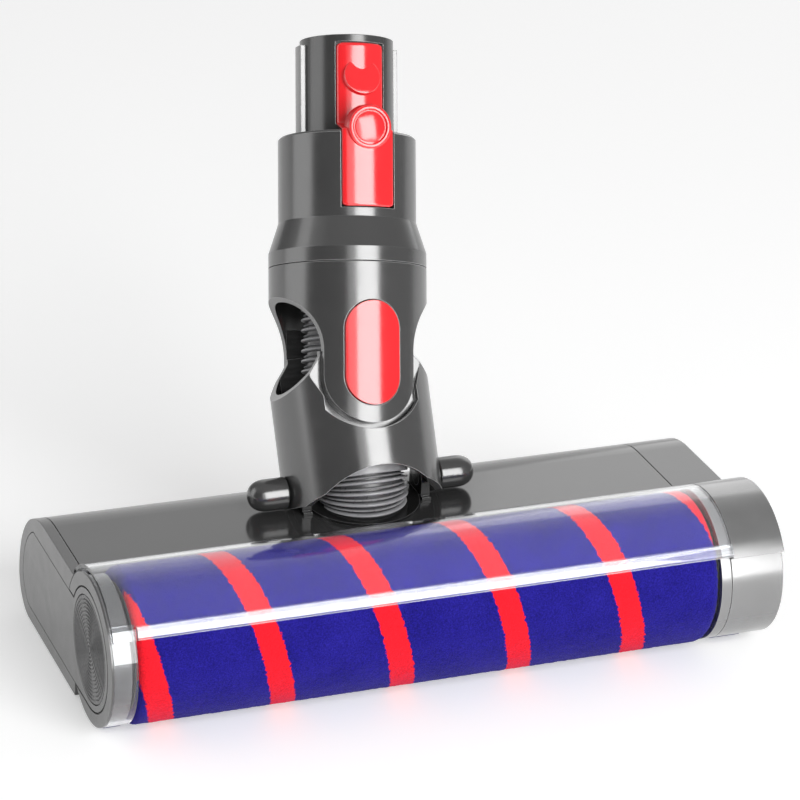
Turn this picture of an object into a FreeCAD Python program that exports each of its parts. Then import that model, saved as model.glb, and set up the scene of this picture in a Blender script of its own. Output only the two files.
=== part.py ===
"""Powered floor head: a soft roller under a clear visor, a grey housing and a neck with two pivots.

Frame: X runs along the roller, +Y points to the rear, +Z up. The origin is on the floor, under the
middle of the whole head. Every length is in millimetres and every angle in degrees.
"""
import FreeCAD, Part
import Sketcher
import math
import os

V = FreeCAD.Vector

# Driving dimensions, one sheet cell each
SIZES = {
    # Head
    "head_length": 250.0,
    "cover_top": 46.5,
    "head_reach": 89.8,
    "rear_axis_z": 14.0,
    "housing_bottom": 0.8,
    "shell_wall": 2.2,
    "seam_gap": 0.35,
    "part_gap": 0.3,
    "running_gap": 0.05,
    # Roller
    "pile_r": 27.7,
    "pile_start": 9.8,
    "pile_end_gap": 5.0,
    "core_r": 22.5,
    "core_wall": 1.6,
    "stripe_pitch": 43.9,
    "stripe_width": 9.0,
    "stripe_front_x": -22.9,
    "band_gap": 0.03,
    "glue_gap": 0.12,
    # Visor
    "visor_gap": 0.35,
    "visor_wall": 1.3,
    "visor_front_angle": 149.0,
    "visor_rear_angle": 30.0,
    "lip_angle": 9.5,
    "lip_depth": 1.7,
    # Ends
    "left_thickness": 7.4,
    "face_ring": 1.0,
    "clear_ring": 8.4,
    "end_low_r": 26.9,
    "end_low_wall": 1.2,
    "panel_r": 21.5,
    "panel_thickness": 1.4,
    "panel_low_z": 6.2,
    "panel_high_z": 38.0,
    "disc_r": 19.0,
    "disc_groove_pitch": 3.2,
    "disc_groove_depth": 0.5,
    "cap_length": 20.0,
    "cap_wall": 2.2,
    "cap_spigot_r": 23.4,
    "bayonet_ring_width": 3.8,
    "lug_size": 4.0,
    "felt_thickness": 0.7,
    "felt_length": 12.0,
    # Drive
    "pod_r": 18.0,
    "pod_wall": 1.4,
    "pod_length": 98.0,
    "motor_r": 14.5,
    "motor_length": 58.0,
    "shaft_r": 3.0,
    "bearing_r": 8.0,
    "bearing_width": 6.0,
    "dog_r": 12.0,
    "dog_length": 10.0,
    "spline_count": 6.0,
    "bush_width": 8.0,
    "stub_r": 6.0,
    "stub_length": 11.0,
    "stub_seat": 4.0,
    "stub_gap": 0.15,
    "hub_thickness": 6.0,
    "bush_gap": 2.0,
    "bush_wall": 3.8,
    "bush_rib_width": 4.0,
    "cap_end": 4.0,
    "pulley_r": 7.0,
    "pulley_width": 2.8,
    "belt_thickness": 1.2,
    # Rear brush
    "brush_z": 9.4,
    "brush_r": 8.6,
    "spindle_r": 4.0,
    "brush_journal_r": 2.5,
    "brush_pulley_r": 5.0,
    "strip_width": 1.8,
    "chamber_depth": 12.5,
    "chamber_height": 24.0,
    "chamber_wall": 2.0,
    "duct_half": 26.0,
    # Wheels
    "wheel_r": 5.5,
    "wheel_width": 8.0,
    "wheel_setback": 24.6,
    "wheel_x": 72.0,
    "axle_r": 1.5,
    # Neck pivots
    "neck_x": -9.4,
    "pivot_y": 48.0,
    "pivot_rise": 6.5,
    "lean": 28.0,
    "swivel": 7.5,
    "swivel_up": 37.0,
    "knob_r": 5.8,
    "knob_length": 14.0,
    "knob_pin_r": 3.2,
    "ear_r": 6.0,
    "ear_inside": 21.0,
    "ear_thickness": 3.4,
    "socket_depth": 6.0,
    # Yoke
    "yoke_r": 28.7,
    "yoke_wall": 2.4,
    "yoke_side_top": 33.0,
    "yoke_horn_top": 48.0,
    "yoke_foot": 6.1,
    "arch_r": 27.6,
    "arch_top": 5.4,
    "plate_face": 19.8,
    "plate_thickness": 2.6,
    "swivel_pin_r": 3.0,
    # Saddle
    "saddle_r": 28.6,
    "saddle_wall": 2.4,
    "saddle_top": 40.5,
    "tongue_r": 16.8,
    "scallop_r": 23.3,
    "scallop_z": 9.0,
    "pill_width": 20.0,
    "pill_height": 37.0,
    "pill_z": 8.1,
    "pill_proud": 0.7,
    "pill_depth": 3.0,
    # Collar and spigot
    "collar_crease": 46.0,
    "collar_cone_top": 57.0,
    "collar_r": 25.0,
    "collar_top": 88.0,
    "collar_wall": 2.4,
    "spigot_r": 17.0,
    "spigot_wall": 2.0,
    "spigot_top": 123.5,
    "duct_r": 13.4,
    "duct_wall": 1.2,
    "rail_proud": 1.7,
    "rail_width": 6.4,
    "rail_top": 121.0,
    "plug_width": 20.0,
    "plug_reach": 26.5,
    "plug_height": 14.0,
    # Latch
    "latch_bottom": 60.5,
    "latch_low_width": 19.1,
    "latch_top": 120.5,
    "latch_high_width": 17.3,
    "latch_thickness": 2.6,
    "latch_tongue_thickness": 1.6,
    "latch_pivot_z": 64.0,
    "latch_pivot_depth": 2.6,
    "latch_pin_r": 1.0,
    "button_z": 88.7,
    "button_r": 8.0,
    "button_proud": 1.6,
    "catch_z": 108.4,
    "catch_r": 6.8,
    "catch_proud": 1.2,
    "latch_gap": 0.4,
    "spring_r": 2.6,
    "spring_wire": 0.5,
    # Hose
    "hose_r": 16.6,
    "hose_wall": 2.4,
    "hose_pitch": 4.0,
    "hose_cuff_r": 17.3,
    "hose_cuff_low": 1.3,
    "hose_cuff_high": 8.1,
    "hose_top": 39.5,
    # Fasteners
    "screw_front_y": 34.0,
    "screw_middle_y": 52.0,
    "screw_rear_setback": 17.8,
    "screw_high_z": 31.0,
    "screw_low_z": 13.0,
    "screw_length": 7.0,
    "screw_head": 1.6,
    "screw_r": 1.5,
    "screw_head_r": 3.0,
}


# The rear brush's axis lies at this share of the reach behind the roller's axis
BRUSH_SHARE = 0.4455


class Dim:
    """A length or angle that carries its number together with its sheet expression."""

    def __init__(self, value, text):
        self.value = float(value)
        self.text = text

    def __add__(self, other):
        other = as_dim(other)
        return Dim(self.value + other.value, f"({self.text} + {other.text})")

    def __radd__(self, other):
        return as_dim(other) + self

    def __sub__(self, other):
        other = as_dim(other)
        return Dim(self.value - other.value, f"({self.text} - {other.text})")

    def __rsub__(self, other):
        return as_dim(other) - self

    def __mul__(self, other):
        other = as_dim(other)
        return Dim(self.value * other.value, f"({self.text} * {other.text})")

    def __rmul__(self, other):
        return as_dim(other) * self

    def __truediv__(self, other):
        other = as_dim(other)
        return Dim(self.value / other.value, f"({self.text} / {other.text})")

    def __neg__(self):
        return Dim(-self.value, f"(0 - {self.text})")


def as_dim(number):
    """Give any plain number the same form as a sheet value."""
    if isinstance(number, Dim):
        return number
    return Dim(number, f"({float(number)!r})")


def cos_of(angle):
    angle = as_dim(angle)
    return Dim(math.cos(math.radians(angle.value)), f"cos({angle.text})")


def sin_of(angle):
    angle = as_dim(angle)
    return Dim(math.sin(math.radians(angle.value)), f"sin({angle.text})")


def root_of(square):
    square = as_dim(square)
    return Dim(math.sqrt(square.value), f"sqrt({square.text})")


def leg_of(radius, side):
    """The other leg of the right triangle with this hypotenuse and one leg."""
    return root_of(radius * radius - side * side)


class Sheet:
    """The driving dimensions as attributes, each one a Dim bound to its cell."""

    def __init__(self, doc):
        cells = doc.addObject("Spreadsheet::Sheet", "Sizes")
        for row, (name, number) in enumerate(SIZES.items(), start=1):
            cells.set(f"A{row}", name)
            cells.set(f"B{row}", str(number))
            cells.setAlias(f"B{row}", name)
            setattr(self, name, Dim(number, f"Sizes.{name}"))


doc = FreeCAD.newDocument("FloorHead")
d = Sheet(doc)
doc.recompute()
NODES = {}

# Derived places
left_x = -(d.head_length / 2)
right_x = d.head_length / 2
rear_upper_r = d.cover_top - d.rear_axis_z
rear_lower_r = d.rear_axis_z - d.housing_bottom
rear_upper_y = d.head_reach - rear_upper_r
rear_lower_y = d.head_reach - rear_lower_r
visor_in = d.pile_r + d.visor_gap
visor_out = visor_in + d.visor_wall
inner_left_x = left_x + d.left_thickness
cap_x = right_x - d.cap_length
ring_end_x = left_x + d.face_ring + d.clear_ring
rim_width = d.left_thickness / 2 + 0.2
pile_x = left_x + d.pile_start
pile_end_x = cap_x - d.pile_end_gap
core_in = d.core_r - d.core_wall
pod_end_x = inner_left_x + d.pod_length
brush_y = d.head_reach * BRUSH_SHARE
chassis_y = brush_y + d.chamber_depth
wheel_y = d.head_reach - d.wheel_setback
spigot_tilt = cos_of(d.swivel) * sin_of(d.lean)
neck_reach = (
    d.pivot_y + d.swivel_up * sin_of(d.lean) + d.spigot_top * spigot_tilt + d.spigot_r * cos_of(d.lean)
)
roller_y = (d.pile_r - neck_reach) / 2
roller_z = d.pile_r
pivot_z = d.cover_top + d.pivot_rise


# Frames: where a piece's own axes lie in the head
class Frame:
    """A place in the head, with the neck's lean and swivel where a piece has them."""

    def __init__(self, x, y, z, lean=None, swivel=None):
        self.origin = [as_dim(x), as_dim(y), as_dim(z)]
        self.lean = as_dim(lean if lean is not None else 0.0)
        self.swivel = as_dim(swivel if swivel is not None else 0.0)

    def place(self, obj):
        x, y, z = (axis.text for axis in self.origin)
        lean = f"rotation(vector(1; 0; 0); 0 - {self.lean.text})"
        swivel = f"rotation(vector(0; 1; 0); {self.swivel.text})"
        obj.setExpression("Placement", f"placement(vector({x}; {y}; {z}); {lean} * {swivel})")


HEAD = Frame(0, roller_y, 0)
ROLLER = Frame(0, roller_y, roller_z)
BRUSH = Frame(0, roller_y + brush_y, d.brush_z)
TILT = Frame(d.neck_x, roller_y + d.pivot_y, pivot_z)
HALF = Frame(d.neck_x, roller_y + d.pivot_y, pivot_z, d.lean / 2)
YOKE = Frame(d.neck_x, roller_y + d.pivot_y, pivot_z, d.lean)
NECK = Frame(
    d.neck_x,
    roller_y + d.pivot_y + d.swivel_up * sin_of(d.lean),
    pivot_z + d.swivel_up * cos_of(d.lean),
    d.lean,
    d.swivel,
)

# How each drawing plane lies: its first axis, second axis and normal
PLANES = {
    "XY": FreeCAD.Rotation(),
    "XZ": FreeCAD.Rotation(V(1, 0, 0), V(0, 0, 1), V(0, -1, 0)),
    "YZ": FreeCAD.Rotation(V(0, 1, 0), V(0, 0, 1), V(1, 0, 0)),
}
AXES = {"X": V(1, 0, 0), "Y": V(0, 1, 0), "Z": V(0, 0, 1)}
ALONG = {
    "X": FreeCAD.Rotation(V(0, 1, 0), 90),
    "Y": FreeCAD.Rotation(V(1, 0, 0), -90),
    "Z": FreeCAD.Rotation(),
}


def bind(obj, **values):
    """Bind properties to sheet expressions."""
    for name, dim in values.items():
        obj.setExpression(name, as_dim(dim).text)


def put(obj, at, turn=None):
    """Bind a piece's own origin, with a fixed turn."""
    obj.Placement = FreeCAD.Placement(V(*(as_dim(value).value for value in at)), turn or FreeCAD.Rotation())
    for letter, value in zip("xyz", at):
        obj.setExpression(f"Placement.Base.{letter}", as_dim(value).text)
    return obj


def box(at, size):
    """A block from its lowest corner and its size."""
    block = doc.addObject("Part::Box", "Block")
    bind(block, Length=size[0], Width=size[1], Height=size[2])
    return put(block, at)


def rod(axis, at, radius, length):
    """A round bar from the centre of its first face, along an axis."""
    bar = doc.addObject("Part::Cylinder", "Rod")
    bind(bar, Radius=radius, Height=length)
    return put(bar, at, ALONG[axis])


def cone(axis, at, first_r, last_r, length):
    taper = doc.addObject("Part::Cone", "Taper")
    bind(taper, Radius1=first_r, Radius2=last_r, Height=length)
    return put(taper, at, ALONG[axis])


def fuse(*pieces):
    union = doc.addObject("Part::MultiFuse", "Union")
    union.Shapes = list(pieces)
    union.Refine = True
    return union


def cut(base, *tools):
    """Take each tool away from the base, in order."""
    for tool in tools:
        result = doc.addObject("Part::Cut", "Cut")
        result.Base = base
        result.Tool = tool
        base = result
    base.Refine = True
    return base


def common(*pieces):
    shared = doc.addObject("Part::MultiCommon", "Common")
    shared.Shapes = list(pieces)
    shared.Refine = True
    return shared


def tube(axis, at, outer_r, inner_r, length):
    """A plain tube."""
    return cut(rod(axis, at, outer_r, length), rod(axis, at, inner_r, length))


def arc_centre(start, end, radius):
    """Centre of the arc under half a turn from start to end; a positive radius turns to the left."""
    middle = (start + end) * 0.5
    chord = end - start
    height = math.sqrt(max(radius * radius - chord.Length**2 / 4, 0.0))
    left = V(-chord.y, chord.x, 0).normalize()
    return middle + left * (height if radius > 0 else -height)


def draw(sketch, points):
    """Close a profile through (u, v) corners; a third value makes the edge that arrives there an arc."""
    corners = [(as_dim(p[0]), as_dim(p[1])) for p in points]
    count = len(points)
    starts = []
    for index in range(count):
        first = corners[index]
        last = corners[(index + 1) % count]
        target = points[(index + 1) % count]
        a = V(first[0].value, first[1].value, 0)
        b = V(last[0].value, last[1].value, 0)
        if len(target) < 3:
            sketch.addGeometry(Part.LineSegment(a, b), False)
            starts.append((1, 2))
            continue
        radius = as_dim(target[2])
        centre = arc_centre(a, b, radius.value)
        circle = Part.Circle(centre, V(0, 0, 1), abs(radius.value))
        begin, end = (a, b) if radius.value > 0 else (b, a)
        angles = [math.atan2(p.y - centre.y, p.x - centre.x) for p in (begin, end)]
        if angles[1] <= angles[0]:
            angles[1] += 2 * math.pi
        sketch.addGeometry(Part.ArcOfCircle(circle, *angles), False)
        starts.append((1, 2) if radius.value > 0 else (2, 1))
        row = sketch.addConstraint(Sketcher.Constraint("Radius", index, abs(radius.value)))
        sketch.setExpression(f"Constraints[{row}]", radius.text if radius.value > 0 else f"0 - {radius.text}")
    for index in range(count):
        after = (index + 1) % count
        sketch.addConstraint(
            Sketcher.Constraint("Coincident", index, starts[index][1], after, starts[after][0])
        )
    for index, (u, v) in enumerate(corners):
        corner = starts[index][0]
        for kind, value in (("DistanceX", u), ("DistanceY", v)):
            row = sketch.addConstraint(Sketcher.Constraint(kind, -1, 1, index, corner, value.value))
            sketch.setExpression(f"Constraints[{row}]", value.text)
    return sketch


def prism(plane, points, start, length):
    """A profile drawn on a plane and pulled along the plane's normal axis."""
    sketch = draw(doc.addObject("Sketcher::SketchObject", "Profile"), points)
    letter = {"YZ": "X", "XZ": "Y", "XY": "Z"}[plane]
    at = [start if letter == name else 0 for name in "XYZ"]
    put(sketch, at, PLANES[plane])
    pull = doc.addObject("Part::Extrusion", "Prism")
    pull.Base = sketch
    pull.DirMode = "Custom"
    pull.Dir = AXES[letter]
    pull.Solid = True
    bind(pull, LengthFwd=length)
    return pull


def node(label, obj, frame):
    """Name a finished piece and put it in its frame."""
    obj.Label = label
    frame.place(obj)
    NODES[label] = obj
    return obj


def turned(label, axis, points, frame):
    """A turned piece from (along, radius) corners, as a body with one revolution."""
    body = doc.addObject("PartDesign::Body", "Turned")
    sketch = body.newObject("Sketcher::SketchObject", "Section")
    role = {"X": "XY_Plane", "Z": "XZ_Plane", "Y": "XY_Plane"}[axis]
    plane = next(item for item in body.Origin.OriginFeatures if item.Role == role)
    sketch.AttachmentSupport = (plane, [""])
    sketch.MapMode = "FlatFace"
    if axis == "X":
        draw(sketch, points)
    else:
        swapped = [(p[1], p[0], -as_dim(p[2])) if len(p) > 2 else (p[1], p[0]) for p in points]
        draw(sketch, swapped)
    spin = body.newObject("PartDesign::Revolution", "Spin")
    spin.Profile = sketch
    spin.ReferenceAxis = (sketch, ["H_Axis" if axis == "X" else "V_Axis"])
    spin.Angle = 360
    return node(label, body, frame) if label else body


def plate(label, plane, points, start, length, frame):
    """A flat piece from a profile, as a body with one pad."""
    body = doc.addObject("PartDesign::Body", "Plate")
    sketch = body.newObject("Sketcher::SketchObject", "Outline")
    support = next(item for item in body.Origin.OriginFeatures if item.Role == f"{plane}_Plane")
    sketch.AttachmentSupport = (support, [""])
    sketch.MapMode = "FlatFace"
    sketch.AttachmentOffset = FreeCAD.Placement(V(0, 0, as_dim(start).value), FreeCAD.Rotation())
    sketch.setExpression("AttachmentOffset.Base.z", as_dim(start).text)
    draw(sketch, points)
    pad = body.newObject("PartDesign::Pad", "Pad")
    pad.Profile = sketch
    bind(pad, Length=length)
    return node(label, body, frame) if label else body


def turn_about_x(piece, angle):
    """Hold a piece at an angle about X."""
    holder = doc.addObject("Part::Compound", "Turned")
    holder.Links = [piece]
    holder.Placement = FreeCAD.Placement(V(0, 0, 0), FreeCAD.Rotation(V(1, 0, 0), angle))
    return holder


def polar(radius, angle):
    """A point on a circle about the origin of a profile."""
    return radius * cos_of(angle), radius * sin_of(angle)


def ring_sector(inner_r, outer_r, first, last):
    """Profile of part of a ring, from one angle to another, under half a turn."""
    return [
        polar(inner_r, first),
        (*polar(inner_r, last), inner_r),
        polar(outer_r, last),
        (*polar(outer_r, first), -outer_r),
    ]


def placed_sector(inner_r, outer_r, first, last, start, length):
    """Part of a ring about the roller axis, in the head's frame."""
    holder = doc.addObject("Part::Compound", "Sector")
    holder.Links = [prism("YZ", ring_sector(inner_r, outer_r, first, last), start, length)]
    return put(holder, (0, 0, roller_z))


def turned_block(angle, radius, start, depth, width, length):
    """A block on a circle about X, turned to an angle, for lugs, splines and their slots."""
    return turn_about_x(box((start, radius, -(as_dim(width) / 2)), (length, depth, width)), angle)


def solid_feature(label, shape, frame):
    """A piece whose shape is made directly."""
    feature = doc.addObject("Part::Feature", "Shape")
    feature.Shape = shape
    return node(label, feature, frame)


# Belt line from the roller's axis down to the rear brush's
belt_rise = roller_z - d.brush_z
belt_span = root_of(brush_y * brush_y + belt_rise * belt_rise)
HEAD_ROLLER = Frame(0, 0, roller_z)


def belt_loop(grow, start, width):
    """Block inside the belt's line, the motor's pulley at the origin and the brush's along +Y."""
    big = d.pulley_r + grow
    small = d.brush_pulley_r + grow
    offset = (d.pulley_r - d.brush_pulley_r) / belt_span
    side = root_of(1 - offset * offset)
    outline = [
        (big * offset, -(big * side), big),
        (belt_span + small * offset, -(small * side)),
        (belt_span + small, 0.0, small),
        (belt_span + small * offset, small * side, small),
        (big * offset, big * side),
        (-big, 0.0, big),
    ]
    holder = doc.addObject("Part::Compound", "Loop")
    holder.Links = [prism("YZ", outline, start, width)]
    return holder


def put_tilted(piece, frame):
    """Turn a piece about X so that its +Y runs down the belt's line."""
    x, y, z = (axis.text for axis in frame.origin)
    tilt = f"rotation(vector(1; 0; 0); asin({(-belt_rise / belt_span).text}))"
    piece.setExpression("Placement", f"placement(vector({x}; {y}; {z}); {tilt})")


# Housing
def rear_profile(front_y, grow):
    """Closed side outline of the housing behind the roller, grown or shrunk evenly."""
    grow = as_dim(grow)
    top = d.cover_top + grow
    bottom = d.housing_bottom - grow
    return [
        (front_y, bottom),
        (rear_lower_y, bottom),
        (d.head_reach + grow, d.rear_axis_z, rear_lower_r + grow),
        (rear_upper_y, top, rear_upper_r + grow),
        (front_y, top),
    ]


def build_top_cover():
    """Shell over the top and rear, with a concave front edge on the visor and the neck's hole."""
    lip_y = rear_lower_y - 2.6
    left = left_x + rim_width + d.seam_gap
    wall = d.shell_wall
    shell = [
        (18.0, d.cover_top - wall),
        (18.0, d.cover_top),
        (rear_upper_y, d.cover_top),
        (d.head_reach, d.rear_axis_z, -rear_upper_r),
        (rear_lower_y, d.housing_bottom, -rear_lower_r),
        (lip_y, d.housing_bottom),
        (lip_y, d.housing_bottom + wall),
        (rear_lower_y, d.housing_bottom + wall),
        (d.head_reach - wall, d.rear_axis_z, rear_lower_r - wall),
        (rear_upper_y, d.cover_top - wall, rear_upper_r - wall),
    ]
    length = cap_x - d.seam_gap - left
    cover = prism("YZ", shell, left, length)
    visor_space = rod("X", (left, 0, roller_z), visor_out + d.part_gap, length)
    hole = rod("Z", (d.neck_x, d.pivot_y - 1.6, d.cover_top - 10), d.hose_cuff_r + 0.7, 20)
    node("top_cover", cut(cover, visor_space, hole), HEAD)


def build_right_section():
    """Hollow end of the housing beside the cap, with a concave front that clears the cap."""
    wall = d.shell_wall
    solid = prism("YZ", rear_profile(16.0, 0), cap_x, d.cap_length)
    pocket = prism("YZ", rear_profile(visor_out + 4.0, -wall), cap_x - 1, d.cap_length + 1 - wall)
    cap_space = rod("X", (cap_x - 1, 0, roller_z), visor_out + d.part_gap, d.cap_length + 2)
    shelf = box((cap_x - 1, 0, 0), (d.cap_length + 2, 22.0, 12.0))
    node("right_section", cut(solid, pocket, cap_space, shelf), HEAD)


def panel_profile(grow):
    """Side outline of the inset left panel: a round front and a tapered rear."""
    grow = as_dim(grow)
    radius = d.panel_r + grow
    low = d.panel_low_z - grow
    high = d.panel_high_z + grow
    low_y = leg_of(radius, roller_z - low)
    high_y = leg_of(radius, high - roller_z)
    return [
        (low_y, low, radius),
        (d.head_reach - 15.0, low),
        (d.head_reach - 5.6 + grow, low + grow + 10.0, 10.0 + grow),
        (d.head_reach - 19.0, high, rear_upper_r - 8.0 + grow),
        (high_y, high),
        (-radius, roller_z, radius),
    ]


def build_left_end():
    """Left end: a rim with a round drum in front, its panel, ringed disc and face ring."""
    thickness = d.left_thickness
    drum_r = d.end_low_r - d.end_low_wall - d.part_gap
    rim = prism("YZ", rear_profile(17.0, 0), left_x, rim_width)
    inset = prism("YZ", rear_profile(17.0, -(d.shell_wall + 0.15)), left_x, thickness)
    foot = box((left_x, 17.0, d.housing_bottom), (thickness, rear_lower_y - 19.9, 3.0))
    drum = rod("X", (left_x + d.face_ring, 0, roller_z), drum_r, thickness - d.face_ring)
    groove_x = left_x + d.face_ring
    groove = fuse(
        placed_sector(drum_r, visor_out + d.part_gap, d.visor_rear_angle - 2, 160, groove_x, 12),
        placed_sector(drum_r, visor_out + d.part_gap, 150, 292, groove_x, 12),
    )
    face_gap = cut(
        rod("X", (left_x - 1, 0, roller_z), d.end_low_r + d.seam_gap, d.face_ring + 1),
        box((left_x - 2, 17.0, -5), (d.face_ring + 4, 40, d.panel_high_z + d.seam_gap + 5)),
    )
    recess = prism("YZ", panel_profile(d.seam_gap), left_x - 1, d.panel_thickness + 1 + d.part_gap)
    cavity = prism("YZ", panel_profile(-1.6), left_x, thickness - 1.8)
    belt_space = belt_loop(d.belt_thickness + 0.8, left_x + d.panel_thickness + 0.9, 3.3)
    put_tilted(belt_space, HEAD_ROLLER)
    shaft_hole = rod("X", (left_x, 0, roller_z), d.shaft_r + 1, 12)
    spindle_hole = rod("X", (left_x, brush_y, d.brush_z), d.brush_journal_r + 0.6, 12)
    housing = cut(
        cut(fuse(rim, inset, foot, drum), groove, face_gap, recess, cavity, belt_space),
        shaft_hole,
        spindle_hole,
        *screw_holes(inner_left_x - 4, 10),
    )
    node("left_end_housing", housing, HEAD)

    panel = plate(None, "YZ", panel_profile(0), left_x, d.panel_thickness, HEAD)
    disc_hole = rod("X", (left_x - 1, 0, roller_z), d.disc_r + 0.25, 5)
    node("left_panel", cut(panel, disc_hole), HEAD)

    face = rod("X", (left_x, 0, roller_z), d.end_low_r, d.face_ring - 0.1)
    opening = prism("YZ", panel_profile(2 * d.seam_gap), left_x - 1, 6)
    behind = box((left_x - 1, 16.6, -5), (12, 40, d.panel_high_z + 2 * d.seam_gap + 5))
    node("left_face_ring", cut(face, opening, behind), HEAD)

    count = int((d.disc_r.value - 2.0) / d.disc_groove_pitch.value)
    back = d.panel_thickness + 0.6
    points = [(back, 0.0), (0.0, 0.0)]
    for index in range(count):
        middle = d.disc_groove_pitch * (index + 1)
        points.append((0.0, middle - 0.7))
        points.append((d.disc_groove_depth, middle))
        points.append((0.0, middle + 0.7))
    points += [(0.0, d.disc_r), (back, d.disc_r)]
    turned("left_disc", "X", points, Frame(left_x, roller_y, roller_z))


# Visor
def build_visor():
    """Clear visor: a shell over the roller with a thick front lip, and a full band at its left end."""
    front = d.visor_front_angle
    rear = d.visor_rear_angle
    lip_top = front - d.lip_angle
    lip_r = visor_out + d.lip_depth
    start = left_x + d.face_ring
    shell = ring_sector(visor_in, visor_out, rear, front)
    lip = ring_sector(visor_in, lip_r, lip_top, front)
    low = ring_sector(d.end_low_r - d.end_low_wall, d.end_low_r, front - 12, 288)
    web = ring_sector(d.end_low_r - d.end_low_wall, visor_out, lip_top, front)
    visor = fuse(
        prism("YZ", shell, start, cap_x - d.seam_gap - start),
        prism("YZ", lip, ring_end_x, cap_x - d.seam_gap - ring_end_x),
        prism("YZ", low, start, d.clear_ring),
        prism("YZ", web, start, d.clear_ring),
    )
    node("visor", visor, ROLLER)


# Right end
def build_bayonet_ring():
    """Ring that closes the right end of the visor, with slots for the cap's lugs."""
    outer = visor_in - d.part_gap
    inner = d.cap_spigot_r + d.part_gap
    start = cap_x - d.part_gap - d.bayonet_ring_width
    ring = rod("X", (start, 0, 0), d.end_low_r, d.bayonet_ring_width)
    crown = prism("YZ", ring_sector(inner, outer, d.visor_rear_angle, d.visor_front_angle), start,
                  d.bayonet_ring_width)
    foot = box((start, 8.0, d.housing_bottom - roller_z + d.shell_wall + d.part_gap),
               (d.bayonet_ring_width, 21.0, 9.0))
    bore = rod("X", (start - 1, 0, 0), inner, 10)
    lug_path = rod("X", (start - 1, 0, 0), d.cap_spigot_r + 1.0, 2.4)
    slots = [
        turned_block(angle + 45.0, inner - 1, start - 1, 3.0, d.lug_size + 1.2, 6) for angle in LUG_ANGLES
    ]
    node("bayonet_ring", cut(fuse(ring, crown, foot), bore, lug_path, *slots), ROLLER)


LUG_ANGLES = (75.0, 195.0, 315.0)


def build_end_cap():
    """Turning cap: an upper band flush with the visor, a smaller lower band, a coin slot and inner ribs."""
    low_r = d.end_low_r
    length = d.cap_length
    drum = rod("X", (cap_x, 0, 0), low_r, length)
    crown = prism("YZ", ring_sector(low_r - 4, visor_out, 10, d.visor_front_angle + 1), cap_x, length)
    hollow = rod("X", (cap_x - 1, 0, 0), low_r - d.cap_wall, length - d.cap_end + 1)
    dish = cone("X", (right_x - 1.4, 0, 0), low_r - 4.4, low_r - 2.6, 1.6)
    spigot = tube("X", (cap_x - d.bayonet_ring_width - 0.6, 0, 0), d.cap_spigot_r, d.cap_spigot_r - 1.6,
                  d.bayonet_ring_width + 4)
    flange = tube("X", (cap_x + 1.2, 0, 0), low_r - 1, d.cap_spigot_r - 1.6, 2)
    lugs = [
        turned_block(angle, d.cap_spigot_r - 1, cap_x - d.bayonet_ring_width - 0.6, 1.6, d.lug_size, 1.4)
        for angle in LUG_ANGLES
    ]
    hub = rod("X", (right_x - 2.6, 0, 0), 10.0, 2.2)
    slot = box((right_x - 1.8, -8.5, -1.1), (3, 17.0, 2.2))
    cap = cut(fuse(drum, crown), hollow, dish)
    node("end_cap", cut(fuse(cap, spigot, flange, *lugs, hub), slot), ROLLER)

    bush_x = cap_x + d.bush_gap
    bush_length = right_x - d.cap_end - bush_x
    ribs = [
        turned_block(60.0 * i + 30.0, d.stub_r + d.stub_gap, bush_x, d.bush_wall, d.bush_rib_width, bush_length)
        for i in range(6)
    ]
    group = doc.addObject("Part::Compound", "Ribs")
    group.Links = ribs
    node("cap_bush", group, ROLLER)


def build_felts():
    """Felt wipers under the two ends, just clear of the floor."""
    profile = ring_sector(d.end_low_r + 0.02, d.end_low_r + d.felt_thickness, 250, 276)
    left = prism("YZ", profile, left_x + 2.4, 6.0)
    node("felt_left", left, ROLLER)
    right = prism("YZ", profile, cap_x + 1.5, d.felt_length)
    node("felt_right", right, ROLLER)


# Roller
def helical_bar(inner_r, outer_r, start, width, pitch, turns):
    """A bar of rectangular section wound about X, made from a wire and its section."""
    path = Part.makeHelix(pitch, pitch * turns, inner_r)
    corners = [V(inner_r, 0, 0), V(outer_r, 0, 0), V(outer_r, 0, width), V(inner_r, 0, width)]
    section = Part.makePolygon(corners + corners[:1])
    bar = Part.Wire(path.Edges).makePipeShell([section], True, True)
    bar.rotate(V(0, 0, 0), V(0, 1, 0), 90)
    bar.translate(V(start, 0, 0))
    return bar


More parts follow.
